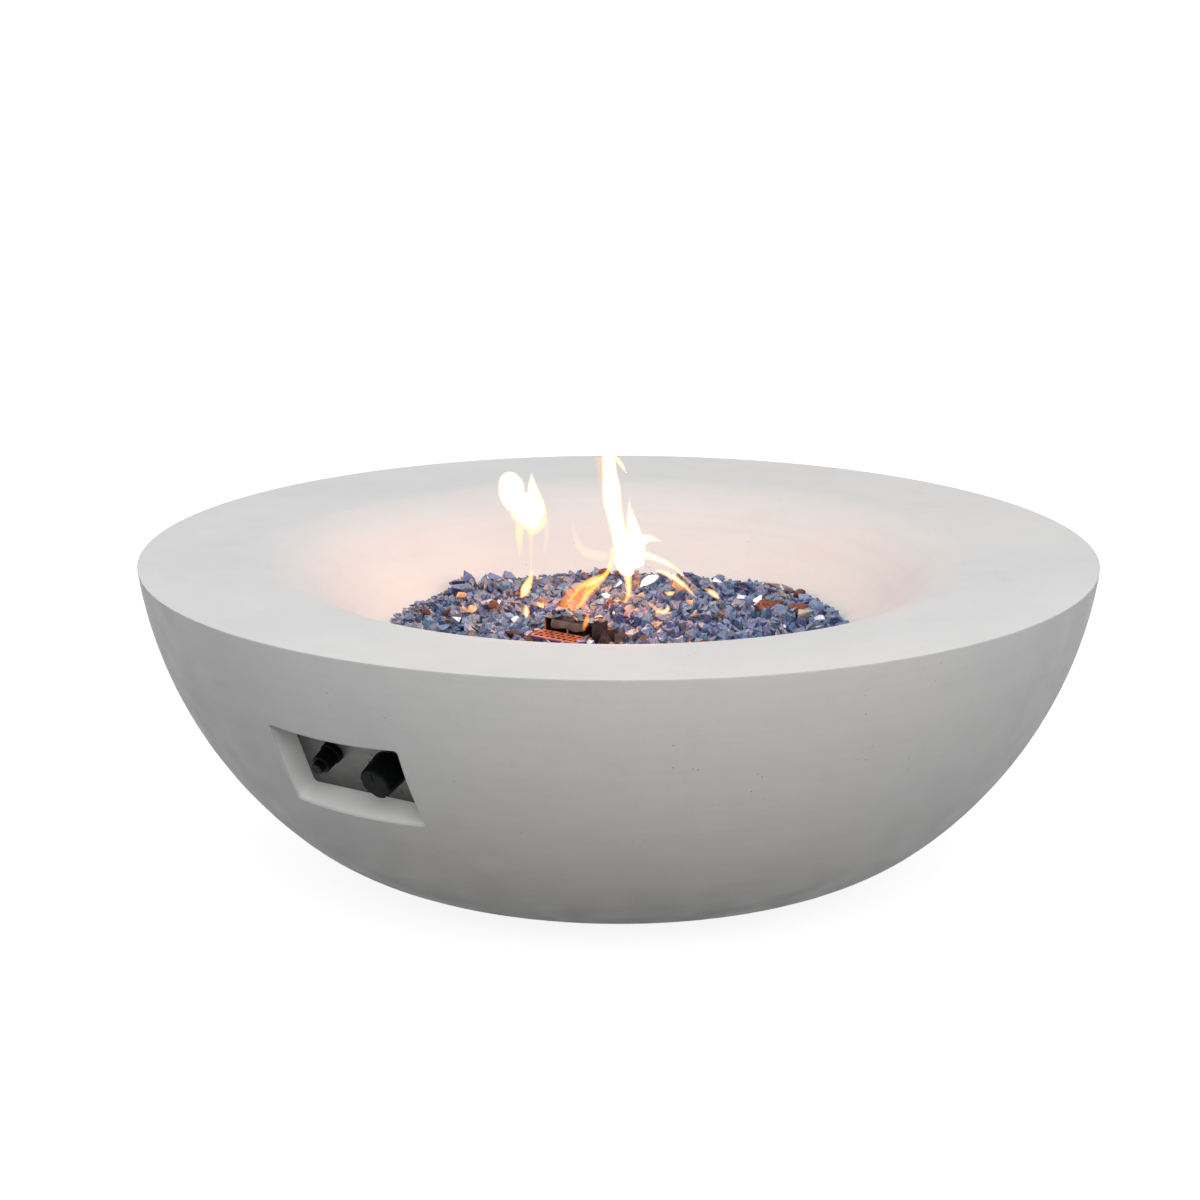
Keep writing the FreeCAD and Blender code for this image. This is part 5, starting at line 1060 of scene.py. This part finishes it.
def area_light(name, place, size, watts):
    lamp = bpy.data.lights.new(name, "AREA")
    lamp.shape, lamp.size, lamp.energy = "DISK", size, watts
    look(shine(name, lamp, place), LIT_POINT - Vector(place))


def fire_light(name, depth, pixel, watts, colour=(1, 0.33, 0.12)):
    lamp = bpy.data.lights.new(name, "POINT")
    lamp.energy, lamp.color, lamp.shadow_soft_size = watts, colour, 0.03
    across, height = at(*pixel, depth)
    place = side * across + away * depth
    shine(name, lamp, (place.x, place.y, height))


area_light("softbox_top", (0.3, -0.2, 3.6), 3.4, 36)
area_light("softbox_right", (3.1, -1.2, 1.7), 2.2, 24)
area_light("softbox_left", (-1.2, -3.3, 1.2), 2, 5)
area_light("softbox_front", (1.9, -2.7, 2), 1.8, 23)
fire_light("fire_left", LEFT, (524, 520), 0.3)
fire_light("fire_main", MAIN, (620, 530), 0.55)
fire_light("fire_low", 0.04, (600, 590), 0.12)
fire_light("fire_near", -0.15, (630, 585), 0.2, (1, 0.24, 0.09))


def seen_rays(tree):
    """1 for rays that show the picture or a reflection of it, 0 for rays that light things."""
    rays = tree.add("LightPath").outputs
    total = rays["Is Camera Ray"]
    for name in ("Is Glossy Ray", "Is Transmission Ray"):
        total = tree.add("Math", {0: total, 1: rays[name]}, operation="MAXIMUM").outputs[0]
    return total


def backdrop():
    """White where it is seen, and a dim even sky where it lights the bowl."""
    world = bpy.data.worlds.new("backdrop")
    world.use_nodes = True
    world.node_tree.nodes.clear()
    scene.world = world
    tree = Tree(world.node_tree)
    sky = tree.add("Background", {"Color": (0.98, 0.99, 1, 1), "Strength": 0.64})
    white = tree.add("Background", {"Color": (1, 1, 1, 1), "Strength": 1})
    both = tree.add("MixShader", {0: seen_rays(tree), 1: sky.outputs[0], 2: white.outputs[0]})
    tree.add("OutputWorld", {"Surface": both.outputs[0]})


def floor():
    """Pale studio floor: it keeps the bowl's shadow, and is white away from it."""
    material, tree = bare_material("studio_floor")
    dull = tree.add("BsdfDiffuse", {"Color": (0.19, 0.19, 0.19, 1)})
    lit = tree.add("BsdfDiffuse", {"Color": (0.29, 0.29, 0.29, 1)})
    glow = tree.add("Emission", {"Strength": 0.88})
    shown = tree.add("AddShader", {0: lit.outputs[0], 1: glow.outputs[0]})
    both = tree.add("MixShader", {0: seen_rays(tree), 1: dull.outputs[0], 2: shown.outputs[0]})
    tree.add("OutputMaterial", {"Surface": both.outputs[0]})
    count, reach = 96, 14
    ring = [(reach * math.cos(2 * math.pi * i / count), reach * math.sin(2 * math.pi * i / count),
             0) for i in range(count)]
    piece("studio_floor", ring, [list(range(count))], material, body=None)


backdrop()
floor()
